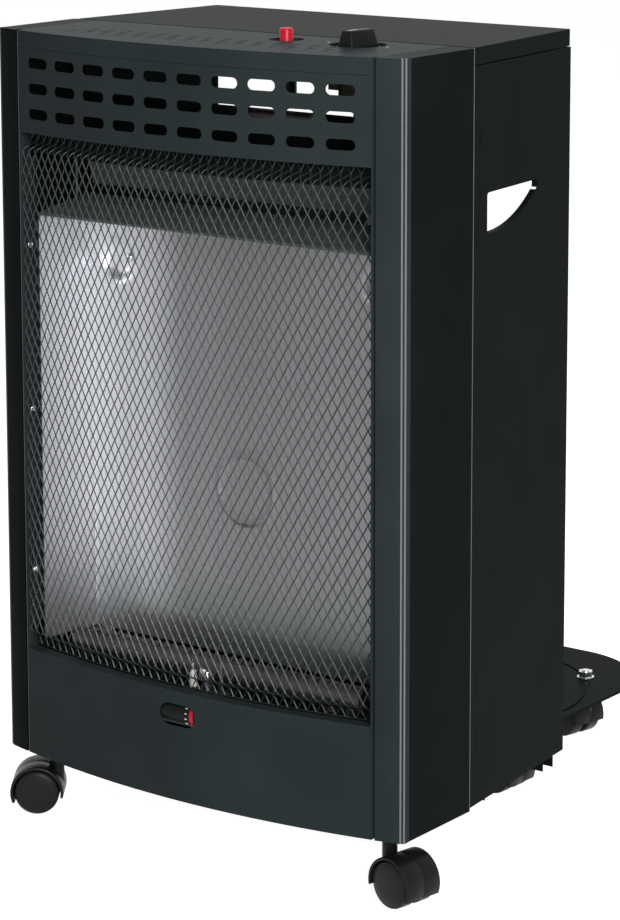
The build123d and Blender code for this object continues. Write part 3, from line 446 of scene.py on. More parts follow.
def make_finishes(colours):
    """One finish for each slot of the frame's record."""
    panel = tuple(colours.panel)
    shell = tuple(colours.shell)
    tarnish = (0.35, 0.5)
    FINISHES.update({
        "charcoal_panel": powder_coat("charcoal_coat", panel),
        "black_panel": powder_coat("black_coat", shell, 0.009),
        "guard_mesh": powder_coat("guard_coat", (0.016, 0.021, 0.021), 0.24, (0.28, 0.4), 1.3, None),
        "reflector_steel": reflector_steel("bright_reflector", tuple(colours.steel), tuple(colours.low_tone)),
        "deflector_steel": powder_coat("dull_deflector", (0.062, 0.080, 0.077), 0.2, (0.45, 0.6), 1.25, None),
        "galvanised": dark_faced_shield("galvanised_sheet", (0.42, 0.44, 0.45), (0.012, 0.014, 0.014)),
        "burner_steel": heat_stained("stained_burner", (0.11, 0.115, 0.112), (0.055, 0.054, 0.05)),
        "ceramic": moulded_plastic("white_ceramic", (0.72, 0.70, 0.64), (0.2, 0.35), 0.5, 300.0),
        "black_plastic": moulded_plastic("black_knob", (0.005, 0.006, 0.006), (0.36, 0.48), 0.08),
        "red_plastic": moulded_plastic("red_button", tuple(colours.button), (0.24, 0.36), 0.2),
        "zinc": spangled_zinc("bright_zinc", (0.78, 0.79, 0.80), (0.62, 0.63, 0.64), (0.16, 0.3), 260.0),
        "brass": drawn_metal(
            "turned_brass", (0.05, 0.045, 0.035), (0.03, 0.028, 0.022), tarnish, (300, 300, 900)),
        "copper": drawn_metal(
            "drawn_copper", (0.12, 0.115, 0.105), (0.07, 0.066, 0.06), tarnish, (400, 400, 60)),
        "wheel_plastic": moulded_plastic(
            "hood_plastic", (0.006, 0.007, 0.007), (0.3, 0.42), 0.12, 900.0, 0.1),
        "tread": moulded_plastic("tread_plastic", (0.007, 0.008, 0.008), (0.32, 0.46), 0.12, 700.0, 0.12),
        "dial_plastic": moulded_plastic("dial_print", (0.62, 0.63, 0.62), (0.4, 0.5)),
    })


# ================= helpers for new pieces =================


def bow_y(x, inset=0.0):
    """Y of the bowed front, or of a surface that lies inset behind it."""
    return BOW_AXIS_Y - sqrt((BOW_RADIUS - inset) ** 2 - x * x)


def add_object(name, data):
    """New object in the scene, at the origin."""
    made = bpy.data.objects.new(name, data)
    bpy.context.scene.collection.objects.link(made)
    return made


def keep_piece(bm, name, body, slot, replaced=(), smooth=radians(35)):
    """Merges doubles, turns the faces outwards, gives the mesh its finish and puts it on its body."""
    bmesh.ops.remove_doubles(bm, verts=bm.verts, dist=1e-6)
    bmesh.ops.recalc_face_normals(bm, faces=bm.faces)
    for face in bm.faces:
        face.smooth = True
    for edge in bm.edges:
        if len(edge.link_faces) == 2 and edge.calc_face_angle(0) > smooth:
            edge.smooth = False
    mesh = bpy.data.meshes.new(name)
    bm.to_mesh(mesh)
    bm.free()
    piece = add_object(name, mesh)
    mesh.materials.append(FINISHES[slot])
    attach(piece, body)
    if replaced:
        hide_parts(*replaced)
    return piece


def turned(bm, outline, steps, matrix):
    """Turns an outline of (along, radius) points round the X axis and places it."""
    verts = [bm.verts.new((along, radius, 0)) for along, radius in outline]
    edges = [bm.edges.new(pair) for pair in zip(verts, verts[1:])]
    bmesh.ops.spin(
        bm, geom=verts + edges, cent=(0, 0, 0), axis=(1, 0, 0), angle=2 * pi, steps=steps, use_merge=True)
    shape = set(verts)
    for face in bm.faces:
        if any(vert in shape for vert in face.verts):
            shape.update(face.verts)
    spun = list(grow(shape))
    bmesh.ops.transform(bm, matrix=matrix, verts=spun)
    bmesh.ops.remove_doubles(bm, verts=spun, dist=1e-6)


def grow(seed):
    """All vertices joined to the seed by edges."""
    found = set(seed)
    waiting = list(found)
    while waiting:
        vert = waiting.pop()
        for edge in vert.link_edges:
            other = edge.other_vert(vert)
            if other not in found:
                found.add(other)
                waiting.append(other)
    return found


def close_holes(bm):
    """Fills every open loop with a face."""
    bmesh.ops.holes_fill(bm, edges=[edge for edge in bm.edges if edge.is_boundary], sides=0)


def block(bm, size, matrix, bevel=0.0, segments=2, top=(1, 1)):
    """Bevelled block, narrowed at its top by the two shares."""
    made = bmesh.ops.create_cube(bm, size=1)
    verts = made["verts"]
    bmesh.ops.scale(bm, vec=size, verts=verts)
    upper = [vert for vert in verts if vert.co.z > 0]
    bmesh.ops.scale(bm, vec=(top[0], top[1], 1), verts=upper)
    if bevel:
        edges = list({edge for vert in verts for edge in vert.link_edges})
        rounded = bmesh.ops.bevel(
            bm, geom=edges, offset=bevel, affect="EDGES", segments=segments, profile=0.5, material=-1)
        verts = list(grow(rounded["verts"]))
    bmesh.ops.transform(bm, matrix=matrix, verts=verts)


def draw_out(bm, points, reach):
    """Fills a closed outline, draws it out along the reach and gives the vertices."""
    before = set(bm.verts)
    verts = [bm.verts.new(point) for point in points]
    edges = [bm.edges.new(pair) for pair in zip(verts, verts[1:] + verts[:1])]
    cap = bmesh.ops.contextual_create(bm, geom=edges)["faces"]
    raised = bmesh.ops.extrude_face_region(bm, geom=cap, use_keep_orig=True)
    far = [item for item in raised["geom"] if isinstance(item, bmesh.types.BMVert)]
    bmesh.ops.translate(bm, vec=reach, verts=far)
    return [vert for vert in bm.verts if vert not in before]


def round_long_edges(bm, verts, axis, length, radius, segments):
    """Rounds the edges that run along an axis for more than half a length."""
    edges = list({
        edge for vert in verts for edge in vert.link_edges
        if abs(edge.verts[0].co[axis] - edge.verts[1].co[axis]) > 0.5 * length})
    bmesh.ops.bevel(
        bm, geom=edges, offset=radius, affect="EDGES", segments=segments, profile=0.5, material=-1)


def stand_up(bm, outline, low, high, side, radius):
    """Stands a closed outline of (x, distance) points up, mirrored for side -1."""
    points = [(side * x, FRONT_Y + distance, low) for x, distance in outline]
    made = draw_out(bm, points, (0, 0, high - low))
    round_long_edges(bm, made, 2, high - low, radius, 3)


def bar_across(bm, outline, start, end, taper=1.0, radius=0.0):
    """Runs a closed outline of (distance, height) points along X, narrowed towards its back."""
    points = [(start, FRONT_Y + distance, height) for distance, height in outline]
    made = draw_out(bm, points, (end - start, 0, 0))
    near = min(vert.co.y for vert in made)
    for vert in made:
        vert.co.x *= 1 - (1 - taper) * (vert.co.y - near) / TAPER_DEPTH
    if radius:
        round_long_edges(bm, made, 0, end - start, radius, 2)


def upright(x, y, z):
    """Matrix that stands an outline turned round X upright at a place."""
    return Matrix.Translation((x, y, z)) @ Matrix.Rotation(-pi / 2, 4, "Y")


def to_front(x, y, z):
    """Matrix that points an outline turned round X to the front of the heater."""
    return Matrix.Translation((x, y, z)) @ Matrix.Rotation(-pi / 2, 4, "Z")


# ================= pieces =================


def joggle(run):
    """Rise and set-back of the guard's border, this far along the sheet from its fold."""
    first = min(run, JOGGLE_BEND)
    middle = max(0.0, min(run - JOGGLE_BEND, JOGGLE_STRAIGHT))
    last = max(0.0, min(run - JOGGLE_BEND - JOGGLE_STRAIGHT, JOGGLE_BEND))
    rest = max(0.0, run - 2 * JOGGLE_BEND - JOGGLE_STRAIGHT)
    rise = JOGGLE_RISE * (first + last) + cos(JOGGLE_SLOPE) * middle + rest
    return rise, JOGGLE_BACK * (first + last) + sin(JOGGLE_SLOPE) * middle


def build_guard(sizes):
    """Expanded metal sheet, trimmed, bowed, with its borders set back by a joggle."""
    half = PANEL_HALF - 0.0010
    middle = (GUARD_LOW + GUARD_HIGH) / 2
    flat = (GUARD_HIGH - GUARD_LOW) / 2 - joggle(GUARD_BORDER)[0]
    tall = flat + GUARD_BORDER
    count = int(2 * half / sizes.cell_width + 2 * tall / sizes.cell_height) + 4
    bm = bmesh.new()
    bmesh.ops.create_grid(bm, x_segments=count, y_segments=count, size=count / 2)
    bmesh.ops.rotate(bm, matrix=Matrix.Rotation(pi / 4, 3, "Z"), verts=bm.verts)
    bmesh.ops.scale(bm, vec=(sizes.cell_width / sqrt(2), sizes.cell_height / sqrt(2), 1), verts=bm.verts)
    for normal, reach in (((1, 0, 0), half), ((-1, 0, 0), half), ((0, 1, 0), tall), ((0, -1, 0), tall)):
        bmesh.ops.bisect_plane(
            bm, geom=bm.verts[:] + bm.edges[:] + bm.faces[:], plane_co=Vector(normal) * reach,
            plane_no=normal, clear_outer=True)
    bmesh.ops.remove_doubles(bm, verts=bm.verts, dist=0.0004)
    bmesh.ops.wireframe(
        bm, faces=bm.faces, thickness=sizes.strand, use_replace=True, use_boundary=True,
        use_even_offset=False)
    for edge_sign in (-1, 1):
        for run in JOGGLE_CUTS:
            bmesh.ops.bisect_plane(
                bm, geom=bm.verts[:] + bm.edges[:] + bm.faces[:], plane_co=(0, edge_sign * (flat + run), 0),
                plane_no=(0, 1, 0))
    for vert in bm.verts:
        x = max(-half, min(half, vert.co.x))
        rise, back = joggle(max(0.0, abs(vert.co.y) - flat))
        up = min(abs(vert.co.y), flat) + rise
        sheet = bow_y(x, GUARD_INSET + 0.0008 + back)
        vert.co = (x, sheet + vert.co.z * 0.8, middle + (up if vert.co.y > 0 else -up))
    keep_piece(bm, "expanded_mesh", "front_unit", "guard_mesh", ("mesh_guard",), radians(30))


def build_posts(sizes):
    """Slanted posts with a stepped bead; one paint in two coats: painted light on the right post, painted
    shade on the left.
    """
    outline = [(POST_INNER, 0.0008), (POST_INNER, -0.0074), (0.2226, -0.0016), (0.2227, 0.0),
               (HALF_WIDTH + 0.0003, 0.0001), (HALF_WIDTH + 0.00006, 0.008), (0.2242, 0.007),
               (0.2239, 0.0036), (0.2234, 0.0021), (0.2222, 0.0011), (0.2208, 0.0009)]
    # the right post's lighter panel coat is painted light, the left post's darker shell coat painted shade
    for side, name, slot in ((1, "right_post", "charcoal_panel"), (-1, "left_post", "black_panel")):
        bm = bmesh.new()
        stand_up(bm, outline, BODY_BOTTOM - 0.0001, CABINET_TOP + 0.0001, side, sizes.fold_radius)
        keep_piece(bm, name, "front_unit", slot, (), SHEET_ANGLE)


def build_returns():
    """Folded ends of the bowed panels, left and right, with a rounded fold."""
    inner = PANEL_HALF - 0.0007
    outer = PANEL_HALF + 0.0003
    outline = [(inner, -0.0083), (outer, -0.0083), (outer, 0.006), (inner, 0.006)]
    bm = bmesh.new()
    for side in (-1, 1):
        stand_up(bm, outline, BODY_BOTTOM, CABINET_TOP - 0.0012, side, 0.00042)
    keep_piece(bm, "panel_returns", "front_unit", "charcoal_panel", (), SHEET_ANGLE)


def build_deflectors():
    """Sloping plate over the reflector, steep plate with its shelf above, strip behind the guard."""
    under = SHELF - 0.0010
    bm = bmesh.new()
    slope = [(0.008, 0.5700), (0.008, 0.5725), (0.066, 0.5850), (0.0663, 0.5841), (0.009, 0.5717),
             (0.009, 0.5700)]
    bar_across(bm, slope, -SLOPE_HALF, SLOPE_HALF, 0.94, 0.00025)
    keep_piece(bm, "slope_plate", "front_unit", "deflector_steel", ("lower_deflector",), SHEET_ANGLE)
    bm = bmesh.new()
    steep = [(0.047, 0.6480), (0.048, 0.6480), (0.0618, SHELF), (0.082, SHELF), (0.082, under),
             (0.0610, under)]
    bar_across(bm, steep, -STEEP_HALF, STEEP_HALF, 1.0, 0.0003)
    shelf = [(0.0815, under), (0.0815, SHELF), (0.1010, SHELF), (0.1010, under)]
    for start, end in ((-STEEP_HALF, PIPE_GAP[0]), (PIPE_GAP[1], STEEP_HALF)):
        bar_across(bm, shelf, start, end)
    keep_piece(bm, "steep_plate", "front_unit", "deflector_steel", ("upper_deflector",), SHEET_ANGLE)
    bm = bmesh.new()
    bmesh.ops.create_grid(bm, x_segments=60, y_segments=2, size=1)
    for vert in bm.verts:
        x = 0.1940 * vert.co.x
        vert.co = (x, bow_y(x, 0.0172), 0.6378 + 0.0102 * vert.co.y)
    bm.normal_update()
    bmesh.ops.solidify(bm, geom=bm.faces[:], thickness=0.0008)
    keep_piece(bm, "guard_backing", "front_unit", "black_panel", (), SHEET_ANGLE)


def build_walls():
    """Upright walls that carry the guard, with a flange out to the posts."""
    outline = [(WALL_INNER, -0.0034), (0.1942, -0.0034), (0.1942, 0.0110), (0.1989, 0.0110), (0.1989, 0.0120),
               (WALL_INNER, 0.0120)]
    bm = bmesh.new()
    for side in (-1, 1):
        stand_up(bm, outline, RAIL_LOW, RAIL_HIGH, side, 0.0003)
    keep_piece(bm, "guard_walls", "front_unit", "charcoal_panel", ("guard_rails",), SHEET_ANGLE)


def pressed(x, z):
    """How far the reflector's back is pressed backwards: two dishes, and an embossed ring forwards."""
    from_dish = sqrt((abs(x) - DISH_X) ** 2 + (z - DISH_HEIGHT) ** 2)
    dish = min(1.0, max(0.0, (DISH_RADIUS - from_dish) / DISH_WALL))
    ring = abs(sqrt(x * x + (z - RING_HEIGHT) ** 2) - RING_RADIUS) / RING_HALF_WIDTH
    raised = RING_RELIEF * (1 - ring * ring) ** 2 if ring < 1 else 0
    return DISH_DEPTH * dish * dish * (3 - 2 * dish) - raised


def build_reflector():
    """Pressed bright sheet: back and slanted wings in one, on two feet."""
    round_fold = 0.002
    reach = REFLECTOR_HALF_BACK + WING_LENGTH
    bm = bmesh.new()
    bmesh.ops.create_grid(bm, x_segments=240, y_segments=190, size=1)
    for vert in bm.verts:
        along = abs(vert.co.x) * reach
        past = along - REFLECTOR_HALF_BACK
        wing = past if past > round_fold else max(0.0, past + round_fold) ** 2 / (4 * round_fold)
        x = (along - wing + WING_OUT * wing) * (1 if vert.co.x > 0 else -1)
        z = REFLECTOR_MIDDLE + REFLECTOR_HALF_HEIGHT * vert.co.y
        vert.co = (x, FRONT_Y + REFLECTOR_BACK - WING_FORWARD * wing + pressed(x, z), z)
    bm.normal_update()
    bmesh.ops.solidify(bm, geom=bm.faces[:], thickness=0.0009)
    for side in (-1, 1):
        foot = Matrix.Translation((side * 0.168, FRONT_Y + REFLECTOR_BACK + 0.0002, 0.1644))
        block(bm, (0.012, 0.0010, 0.0146), foot, 0.0002, 1)
    keep_piece(bm, "reflector_sheet", "front_unit", "reflector_steel", ("reflector",), radians(40))


def build_screws(sizes):
    """Cross-head screws: on the guard's walls, in the reflector's dishes and on the floor plate."""
    radius = sizes.screw_radius
    outline = [(0.0, 0.0), (0.0, radius), (0.0005, radius), (0.0012, 0.9 * radius), (0.0018, 0.62 * radius),
               (0.0021, 0.0)]
    places = []
    for side in (-1, 1):
        inwards = Matrix.Rotation(pi if side > 0 else 0, 4, "Z")
        for height in WALL_SCREWS:
            places.append(Matrix.Translation((side * WALL_INNER, FRONT_Y + 0.0014, height)) @ inwards)
        places.append(to_front(side * DISH_SCREW[0], *DISH_SCREW[1:]))
    for x in FLOOR_SCREWS:
        places.append(upright(x, bow_y(x, 0.024), FLOOR_TOP + 0.0003))
    bm = bmesh.new()
    for number, place in enumerate(places):
        turned(bm, outline, 20, place @ Matrix.Rotation(number * SCREW_TURN, 4, "X"))
    cap = keep_piece(bm, "screw_heads", "front_unit", "zinc", ("panel_screws",))
    slot = (0.0011, 1.25 * radius, 0.0007)
    bm = bmesh.new()
    for number, place in enumerate(places):
        for turn in (0, pi / 2):
            cross = Matrix.Rotation(number * SCREW_TURN + turn, 4, "X")
            block(bm, slot, place @ cross @ Matrix.Translation((0.0019, 0, 0)), 0.0001, 1)
    cutter = bpy.data.meshes.new("cross_cutter")
    bmesh.ops.recalc_face_normals(bm, faces=bm.faces)
    bm.to_mesh(cutter)
    bm.free()
    tool = add_object("cross_cutter", cutter)
    cut = cap.modifiers.new("cross", "BOOLEAN")
    cut.object = tool
    cut.operation = "DIFFERENCE"
    cut.solver = "EXACT"
    cut.use_self = True
    shaped = bpy.data.meshes.new_from_object(cap.evaluated_get(bpy.context.evaluated_depsgraph_get()))
    cap.modifiers.clear()
    cap.data = shaped
    bpy.data.objects.remove(tool)


def build_knob(sizes):
    """Round base with a grip bar that narrows to its ridge, and a pointer line."""
    x, y = KNOB
    radius = sizes.knob_radius
    base = [(0.0, 0.0), (0.0, radius), (0.0006, radius), (0.0012, radius - 0.0008), (0.0012, 0.0)]
    turn = Matrix.Translation((x, y, CABINET_TOP)) @ Matrix.Rotation(sizes.knob_angle, 4, "Z")
    bm = bmesh.new()
    turned(bm, base, 64, upright(x, y, CABINET_TOP - 0.0034))
    block(bm, GRIP, turn @ Matrix.Translation((0, 0, 0.0052)), 0.0016, 4, GRIP_TOP)
    keep_piece(bm, "grip_knob", "knob", "black_plastic", ("control_knob",))
    bm = bmesh.new()
    block(bm, (0.0011, 0.011, 0.0003), turn @ Matrix.Translation((0, -0.007, 0.01305)), 0.0001, 1)
    keep_piece(bm, "pointer_line", "knob", "dial_plastic")


def build_dial_marks():
    """Small printed dots beside the knob's recess."""
    x, y = KNOB
    bm = bmesh.new()
    for angle in DIAL_DOTS:
        turn = radians(angle)
        place = upright(x + DIAL_RADIUS * cos(turn), y + DIAL_RADIUS * sin(turn), CABINET_TOP)
        turned(bm, [(0.0, 0.0), (0.0, 0.0013), (0.0001, 0.0013), (0.0001, 0.0)], 16, place)
    keep_piece(bm, "dial_dots", "front_unit", "dial_plastic")


def build_button():
    """Domed push button with a shallow thumb hollow."""
    x, y = BUTTON
    outline = [(0.0, 0.0), (0.0, 0.0060), (0.0224, 0.0060), (0.0232, 0.0056), (0.0237, 0.0047),
               (0.0235, 0.0028), (0.0232, 0.0)]
    bm = bmesh.new()
    turned(bm, outline, 40, upright(x, y, CABINET_TOP - 0.0136))
    keep_piece(bm, "push_button", "igniter_button", "red_plastic", ("igniter_button",))


def build_drum():
    """Turning indicator behind the window: red end band, plain ticks."""
    axis = Matrix.Translation((0, *DRUM))
    skin = DRUM_RADIUS - 0.0002
    shell = [(-DRUM_HALF, 0.0), (-DRUM_HALF, 0.0115), (-DRUM_HALF + 0.001, skin), (DRUM_HALF - 0.001, skin),
             (DRUM_HALF, 0.0115), (DRUM_HALF, 0.0)]
    bm = bmesh.new()
    turned(bm, shell, 48, axis)
    keep_piece(bm, "indicator", "front_unit", "black_plastic", ("indicator_drum",))
    start, end = DRUM_BAND
    inner = DRUM_RADIUS - 0.0008
    outer = DRUM_RADIUS - 0.0001
    bm = bmesh.new()
    turned(bm, [(start, inner), (start, outer), (end, outer), (end, inner), (start, inner)], 48, axis)
    keep_piece(bm, "indicator_band", "front_unit", "red_plastic")
    tick = Matrix.Translation((0.0085, -DRUM_RADIUS + 0.0001, 0))
    bm = bmesh.new()
    for angle in DRUM_TICKS:
        lean = axis @ Matrix.Rotation(radians(angle), 4, "X")
        block(bm, (0.0026, 0.0006, 0.0009), lean @ tick, 0.0001, 1)
    keep_piece(bm, "indicator_ticks", "front_unit", "dial_plastic")


def build_pilot():
    """Pilot burner with its hood, spark electrode in a ceramic sleeve, thermocouple."""
    x, y = PILOT
    foot = FLOOR_TOP + 0.0003
    bm = bmesh.new()
    block(bm, (0.046, 0.012, 0.0014), Matrix.Translation((x, y, foot + 0.0007)), 0.0004, 1)
    keep_piece(bm, "pilot_foot", "front_unit", "burner_steel")
    bm = bmesh.new()
    body = [(0.0, 0.0), (0.0, 0.0042), (0.010, 0.0042), (0.0105, 0.0054), (0.0155, 0.0054), (0.0162, 0.0046),
            (0.0178, 0.0038), (0.0178, 0.0)]
    turned(bm, body, 24, upright(x, y, foot + 0.0005))
    block(bm, (0.011, 0.0012, 0.008), Matrix.Translation((x, y - 0.0052, foot + 0.018)), 0.0004, 1, (0.7, 1))
    keep_piece(bm, "pilot_hood", "front_unit", "zinc", ("pilot_burner",))
    bm = bmesh.new()
    sleeve = [(0.0, 0.0), (0.0, 0.0034), (0.0125, 0.0034), (0.0135, 0.0026), (0.0150, 0.0024), (0.0158, 0.0)]
    turned(bm, sleeve, 24, upright(x - 0.016, y, foot + 0.0018))
    keep_piece(bm, "electrode_sleeve", "front_unit", "ceramic")
    bm = bmesh.new()
    rod = [(0.0, 0.0), (0.0, 0.0011), (0.0262, 0.0010), (0.0270, 0.0)]
    turned(bm, rod, 16, upright(x - 0.016, y, foot))
    keep_piece(bm, "electrode_rod", "front_unit", "zinc", ("spark_electrode",))
    bm = bmesh.new()
    probe = [(0.0, 0.0), (0.0, 0.0034), (0.0090, 0.0034), (0.0098, 0.0021), (0.0260, 0.0021),
             (0.0300, 0.0014), (0.0312, 0.0)]
    turned(bm, probe, 24, upright(x + 0.016, y, foot + 0.0005))
    keep_piece(bm, "heat_probe", "front_unit", "copper", ("thermocouple",))


def wheel_outline():
    """Near wheel: hub, web, tyre with a groove, dished outer face."""
    return [(0.0173, 0.0), (0.0173, 0.00305), (0.0036, 0.00305), (0.0036, 0.0198), (0.0046, 0.0210),
            (0.0162, 0.0210), (0.0176, 0.0205), (0.0182, 0.0197), (0.0179, 0.0190), (0.0183, 0.0184),
            (0.0190, 0.0160), (0.0196, 0.0110), (0.0199, 0.0055), (0.0200, 0.0)]


def hood_outline():
    """Hood over both wheels, with a web to the hub between them."""
    return [(-0.003, 0.0086), (-0.003, 0.0224), (-0.0195, 0.0224), (-0.020, 0.0229), (-0.020, 0.0240),
            (-0.0196, 0.0247), (-0.0188, 0.0250), (-0.0004, 0.0250), (0.0, 0.02485), (0.0004, 0.0250),
            (0.0188, 0.0250), (0.0196, 0.0247), (0.020, 0.0240), (0.020, 0.0229), (0.0195, 0.0224),
            (0.003, 0.0224), (0.003, 0.0086)]


def build_caster(name, x, distance, heading, steps):
    """Twin wheels, and a swept hood with a hub and a socket for the stem."""
    turn = radians(heading)
    y = FRONT_Y + distance
    centre = Matrix.Translation((x + TRAIL * cos(turn), y + TRAIL * sin(turn), WHEEL_HEIGHT))
    lie = centre @ Matrix.Rotation(turn - pi / 2, 4, "Z")
    for place, flip in (("near", 0.0), ("far", pi)):
        bm = bmesh.new()
        turned(bm, wheel_outline(), steps, lie @ Matrix.Rotation(flip, 4, "Z"))
        shown_for = (f"{name}_caster_{place}_wheel",)
        keep_piece(bm, f"{name}_{place}_disc", f"{name}_{place}_wheel", "tread", shown_for)
    bm = bmesh.new()
    points = [bm.verts.new((along, radius, 0)) for along, radius in hood_outline()]
    edges = [bm.edges.new(pair) for pair in zip(points, points[1:] + points[:1])]
    bmesh.ops.rotate(bm, matrix=Matrix.Rotation(HOOD_START, 3, "X"), verts=points)
    bmesh.ops.spin(
        bm, geom=points + edges, cent=(0, 0, 0), axis=(1, 0, 0), angle=HOOD_SWEEP, steps=steps,
        use_merge=False)
    close_holes(bm)
    bmesh.ops.transform(bm, matrix=lie, verts=bm.verts)
    hub = [(-0.003, 0.00305), (-0.003, 0.009), (0.003, 0.009), (0.003, 0.00305), (-0.003, 0.00305)]
    turned(bm, hub, 32, lie)
    sleeve = [(0.0, 0.0042), (0.0, 0.0068), (0.0342, 0.0068), (0.0350, 0.0060), (0.0350, 0.0042),
              (0.0, 0.0042)]
    socket = bmesh.new()
    turned(socket, sleeve, 40, upright(x, y, WHEEL_HEIGHT))
    along = Vector((cos(turn), sin(turn), 0))
    foot = Vector((x, y, WHEEL_HEIGHT))
    start = foot + along * (TRAIL - 0.0112) + Vector((0, 0, 0.0224))
    end = foot + along * (TRAIL - 0.0248) + Vector((0, 0, 0.0045))
    normal = (end - start).cross(Vector((-sin(turn), cos(turn), 0)))
    if normal.z < 0:
        normal.negate()
    bmesh.ops.bisect_plane(
        socket, geom=socket.verts[:] + socket.edges[:] + socket.faces[:], plane_co=start, plane_no=normal,
        clear_inner=True)
    close_holes(socket)
    held = bpy.data.meshes.new("socket")
    socket.to_mesh(held)
    socket.free()
    bm.from_mesh(held)
    bpy.data.meshes.remove(held)
    keep_piece(bm, f"{name}_hood", f"{name}_caster", "wheel_plastic", (f"{name}_caster_hood",))


def build_collars():
    """Bright collars of the front stems, under the pan."""
    ring = [(0.0, 0.00405), (0.0, 0.0058), (0.0006, 0.0064), (0.0040, 0.0064), (0.0047, 0.0058),
            (0.0047, 0.00405), (0.0, 0.00405)]
    bm = bmesh.new()
    for name in ("front_right", "front_left"):
        x, distance, _ = CASTERS[name]
        turned(bm, ring, 40, upright(x, FRONT_Y + distance, BODY_BOTTOM - 0.0048))
    keep_piece(bm, "stem_collars", "front_unit", "zinc")


# ================= stage =================


def seen_directly(nodes, links):
    """1 for rays from the camera, from gloss and through glass, 0 for the light on surfaces."""
    path = nodes.new("ShaderNodeLightPath")
    total = path.outputs["Is Camera Ray"]
    for name in ("Is Glossy Ray", "Is Transmission Ray"):
        total = combine(nodes, links, "MAXIMUM", total, path.outputs[name])
    return total


def light_world(daylight):
    """White room whose light on surfaces is the daylight."""
    world = bpy.data.worlds.new("studio")
    world.use_nodes = True
    bpy.context.scene.world = world
    nodes = world.node_tree.nodes
    links = world.node_tree.links
    background = nodes["Background"]
    background.inputs["Color"].default_value = (1, 1, 1, 1)
    strength = between(nodes, links, seen_directly(nodes, links), daylight, 1.0, 0, 1)
    links.new(strength, background.inputs["Strength"])


def build_floor():
    """White floor that looks as bright as the room."""
    bm = bmesh.new()
    bmesh.ops.create_grid(bm, x_segments=8, y_segments=8, size=6)
    bmesh.ops.translate(bm, vec=(0, 0, -0.0002), verts=bm.verts)
    mesh = bpy.data.meshes.new("floor")
    bm.to_mesh(mesh)
    bm.free()
    floor = add_object("floor", mesh)
    paint, nodes, links, shader = start_finish("white_floor", 0.0, 0.0)
    shader.inputs["Base Color"].default_value = (0.86, 0.86, 0.86, 1)
    shader.inputs["Roughness"].default_value = 0.9
    shader.inputs["Emission Color"].default_value = (1, 1, 1, 1)
    glow = between(nodes, links, seen_directly(nodes, links), 0.0, FLOOR_GLOW, 0, 1)
    links.new(glow, shader.inputs["Emission Strength"])
    mesh.materials.append(paint)


def add_lamp(name, place, target, size, power):
    """Broad lamp, aimed at its target, that the camera doesn't see."""
    light = bpy.data.lights.new(name, "AREA")
    light.shape = "RECTANGLE"
    light.size, light.size_y = size
    light.energy = power
    lamp = add_object(name, light)
    lamp.location = place
    lamp.rotation_euler = (Vector(target) - Vector(place)).to_track_quat("-Z", "Y").to_euler()
    lamp.visible_camera = False


def set_stage(studio):
    """Floor, room, two lamps and the camera."""
    build_floor()
    light_world(studio.daylight)
    add_lamp("key", *KEY_LAMP, studio.key)
    add_lamp("top_light", *TOP_LAMP, TOP_SHARE * studio.key)
    data = bpy.data.cameras.new("camera")
    data.lens = studio.lens
    data.sensor_width = 36
    data.shift_y = studio.rise
    data.clip_end = 50
    camera = add_object("camera", data)
    camera.location = studio.place
    camera.rotation_euler = studio.turn
    bpy.context.scene.camera = camera
    bpy.context.scene.view_settings.view_transform = "Standard"


# ================= operators and panel =================


class HEATER_OT_finishes(bpy.types.Operator):
    """Give every sheet, pipe and fastener of the frame its finish"""
    bl_idname = "heater.finishes"
    bl_label = "Finishes"

    def execute(self, context):
        make_finishes(context.scene.heater_colours)
        slots = {part["node"]: part["material_slot"] for part in frame["record"]["subparts"]}
        for name, node in frame["nodes"].items():
            finish = FINISHES[slots[name]]
            if not node.data.materials:
                node.data.materials.append(finish)
            for slot in node.material_slots:
                slot.material = finish
        return {"FINISHED"}


class HEATER_OT_guard(bpy.types.Operator):
    """Make the fine expanded mesh of the guard"""
    bl_idname = "heater.guard"
    bl_label = "Mesh guard"

    def execute(self, context):
        build_guard(context.scene.heater_guard)
        return {"FINISHED"}


class HEATER_OT_shell(bpy.types.Operator):
    """Build the posts, the panels' folded ends, the guard's walls, the reflector and the plates"""
    bl_idname = "heater.shell"
    bl_label = "Posts, folds and reflector"

    def execute(self, context):
        build_posts(context.scene.heater_trim)
        build_returns()
        build_walls()
        build_reflector()
        build_deflectors()
        return {"FINISHED"}


class HEATER_OT_screws(bpy.types.Operator):
    """Set the cross-head screws"""
    bl_idname = "heater.screws"
    bl_label = "Screws"

    def execute(self, context):
        build_screws(context.scene.heater_trim)
        return {"FINISHED"}


class HEATER_OT_controls(bpy.types.Operator):
    """Build the grip knob, its dots, the red button and the indicator"""
    bl_idname = "heater.controls"
    bl_label = "Controls"

    def execute(self, context):
        build_knob(context.scene.heater_trim)
        build_dial_marks()
        build_button()
        build_drum()
        return {"FINISHED"}


class HEATER_OT_pilot(bpy.types.Operator):
    """Build the pilot burner, the electrode and the heat probe"""
    bl_idname = "heater.pilot"
    bl_label = "Pilot parts"

    def execute(self, context):
        build_pilot()
        return {"FINISHED"}


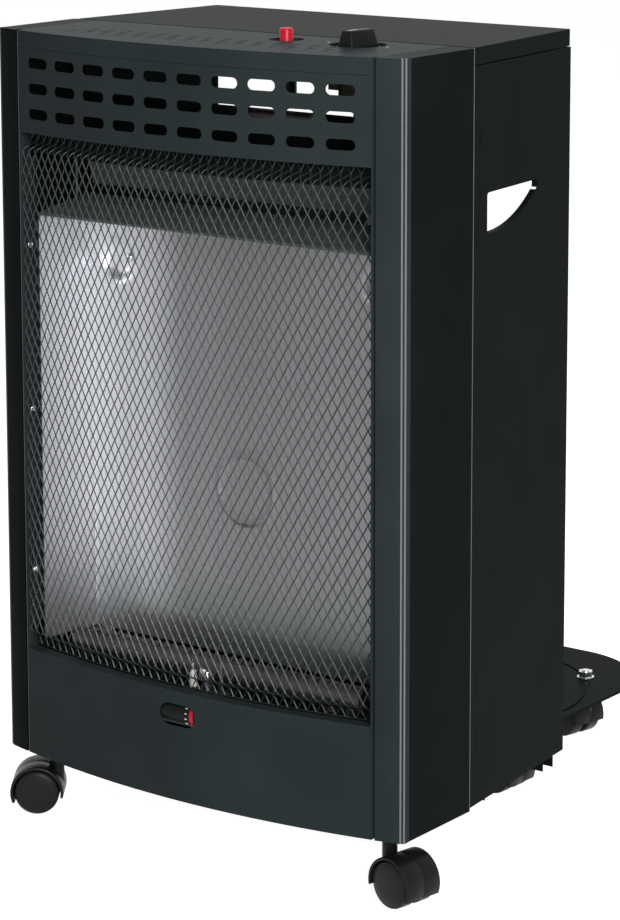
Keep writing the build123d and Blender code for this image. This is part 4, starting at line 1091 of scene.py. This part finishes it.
class HEATER_OT_casters(bpy.types.Operator):
    """Build the six twin-wheel casters"""
    bl_idname = "heater.casters"
    bl_label = "Casters"

    def execute(self, context):
        steps = context.scene.heater_trim.wheel_steps
        for name, place in CASTERS.items():
            build_caster(name, *place, steps)
        build_collars()
        return {"FINISHED"}


class HEATER_OT_stage(bpy.types.Operator):
    """Lay the floor, light the room and set the camera"""
    bl_idname = "heater.stage"
    bl_label = "Stage"

    def execute(self, context):
        set_stage(context.scene.heater_studio)
        return {"FINISHED"}


class HEATER_PT_panel(bpy.types.Panel):
    """Buttons and sizes of the heater"""
    bl_idname = "HEATER_PT_panel"
    bl_label = "Cabinet heater"
    bl_space_type = "VIEW_3D"
    bl_region_type = "UI"
    bl_category = "Heater"

    def draw(self, context):
        column = self.layout.column(align=True)
        for operator in OPERATORS:
            column.operator(operator.bl_idname)
        for name in SETTINGS:
            group = getattr(context.scene, name)
            box = self.layout.box()
            for prop in group.bl_rna.properties:
                if prop.identifier not in ("rna_type", "name"):
                    box.prop(group, prop.identifier)


SETTINGS = {
    "heater_colours": HeaterColours,
    "heater_guard": HeaterGuard,
    "heater_trim": HeaterTrim,
    "heater_studio": HeaterStudio,
}
OPERATORS = (
    HEATER_OT_finishes,
    HEATER_OT_stage,
    HEATER_OT_shell,
    HEATER_OT_guard,
    HEATER_OT_screws,
    HEATER_OT_controls,
    HEATER_OT_pilot,
    HEATER_OT_casters,
)


def register():
    for group in SETTINGS.values():
        bpy.utils.register_class(group)
    for name, group in SETTINGS.items():
        setattr(bpy.types.Scene, name, PointerProperty(type=group))
    for operator in OPERATORS:
        bpy.utils.register_class(operator)
    bpy.utils.register_class(HEATER_PT_panel)


def unregister():
    bpy.utils.unregister_class(HEATER_PT_panel)
    for operator in reversed(OPERATORS):
        bpy.utils.unregister_class(operator)
    for name, group in SETTINGS.items():
        delattr(bpy.types.Scene, name)
        bpy.utils.unregister_class(group)


def main():
    register()
    bpy.ops.heater.finishes()
    bpy.ops.heater.stage()
    bpy.ops.heater.shell()
    bpy.ops.heater.guard()
    bpy.ops.heater.screws()
    bpy.ops.heater.controls()
    bpy.ops.heater.pilot()
    bpy.ops.heater.casters()


if __name__ == "__main__":
    main()
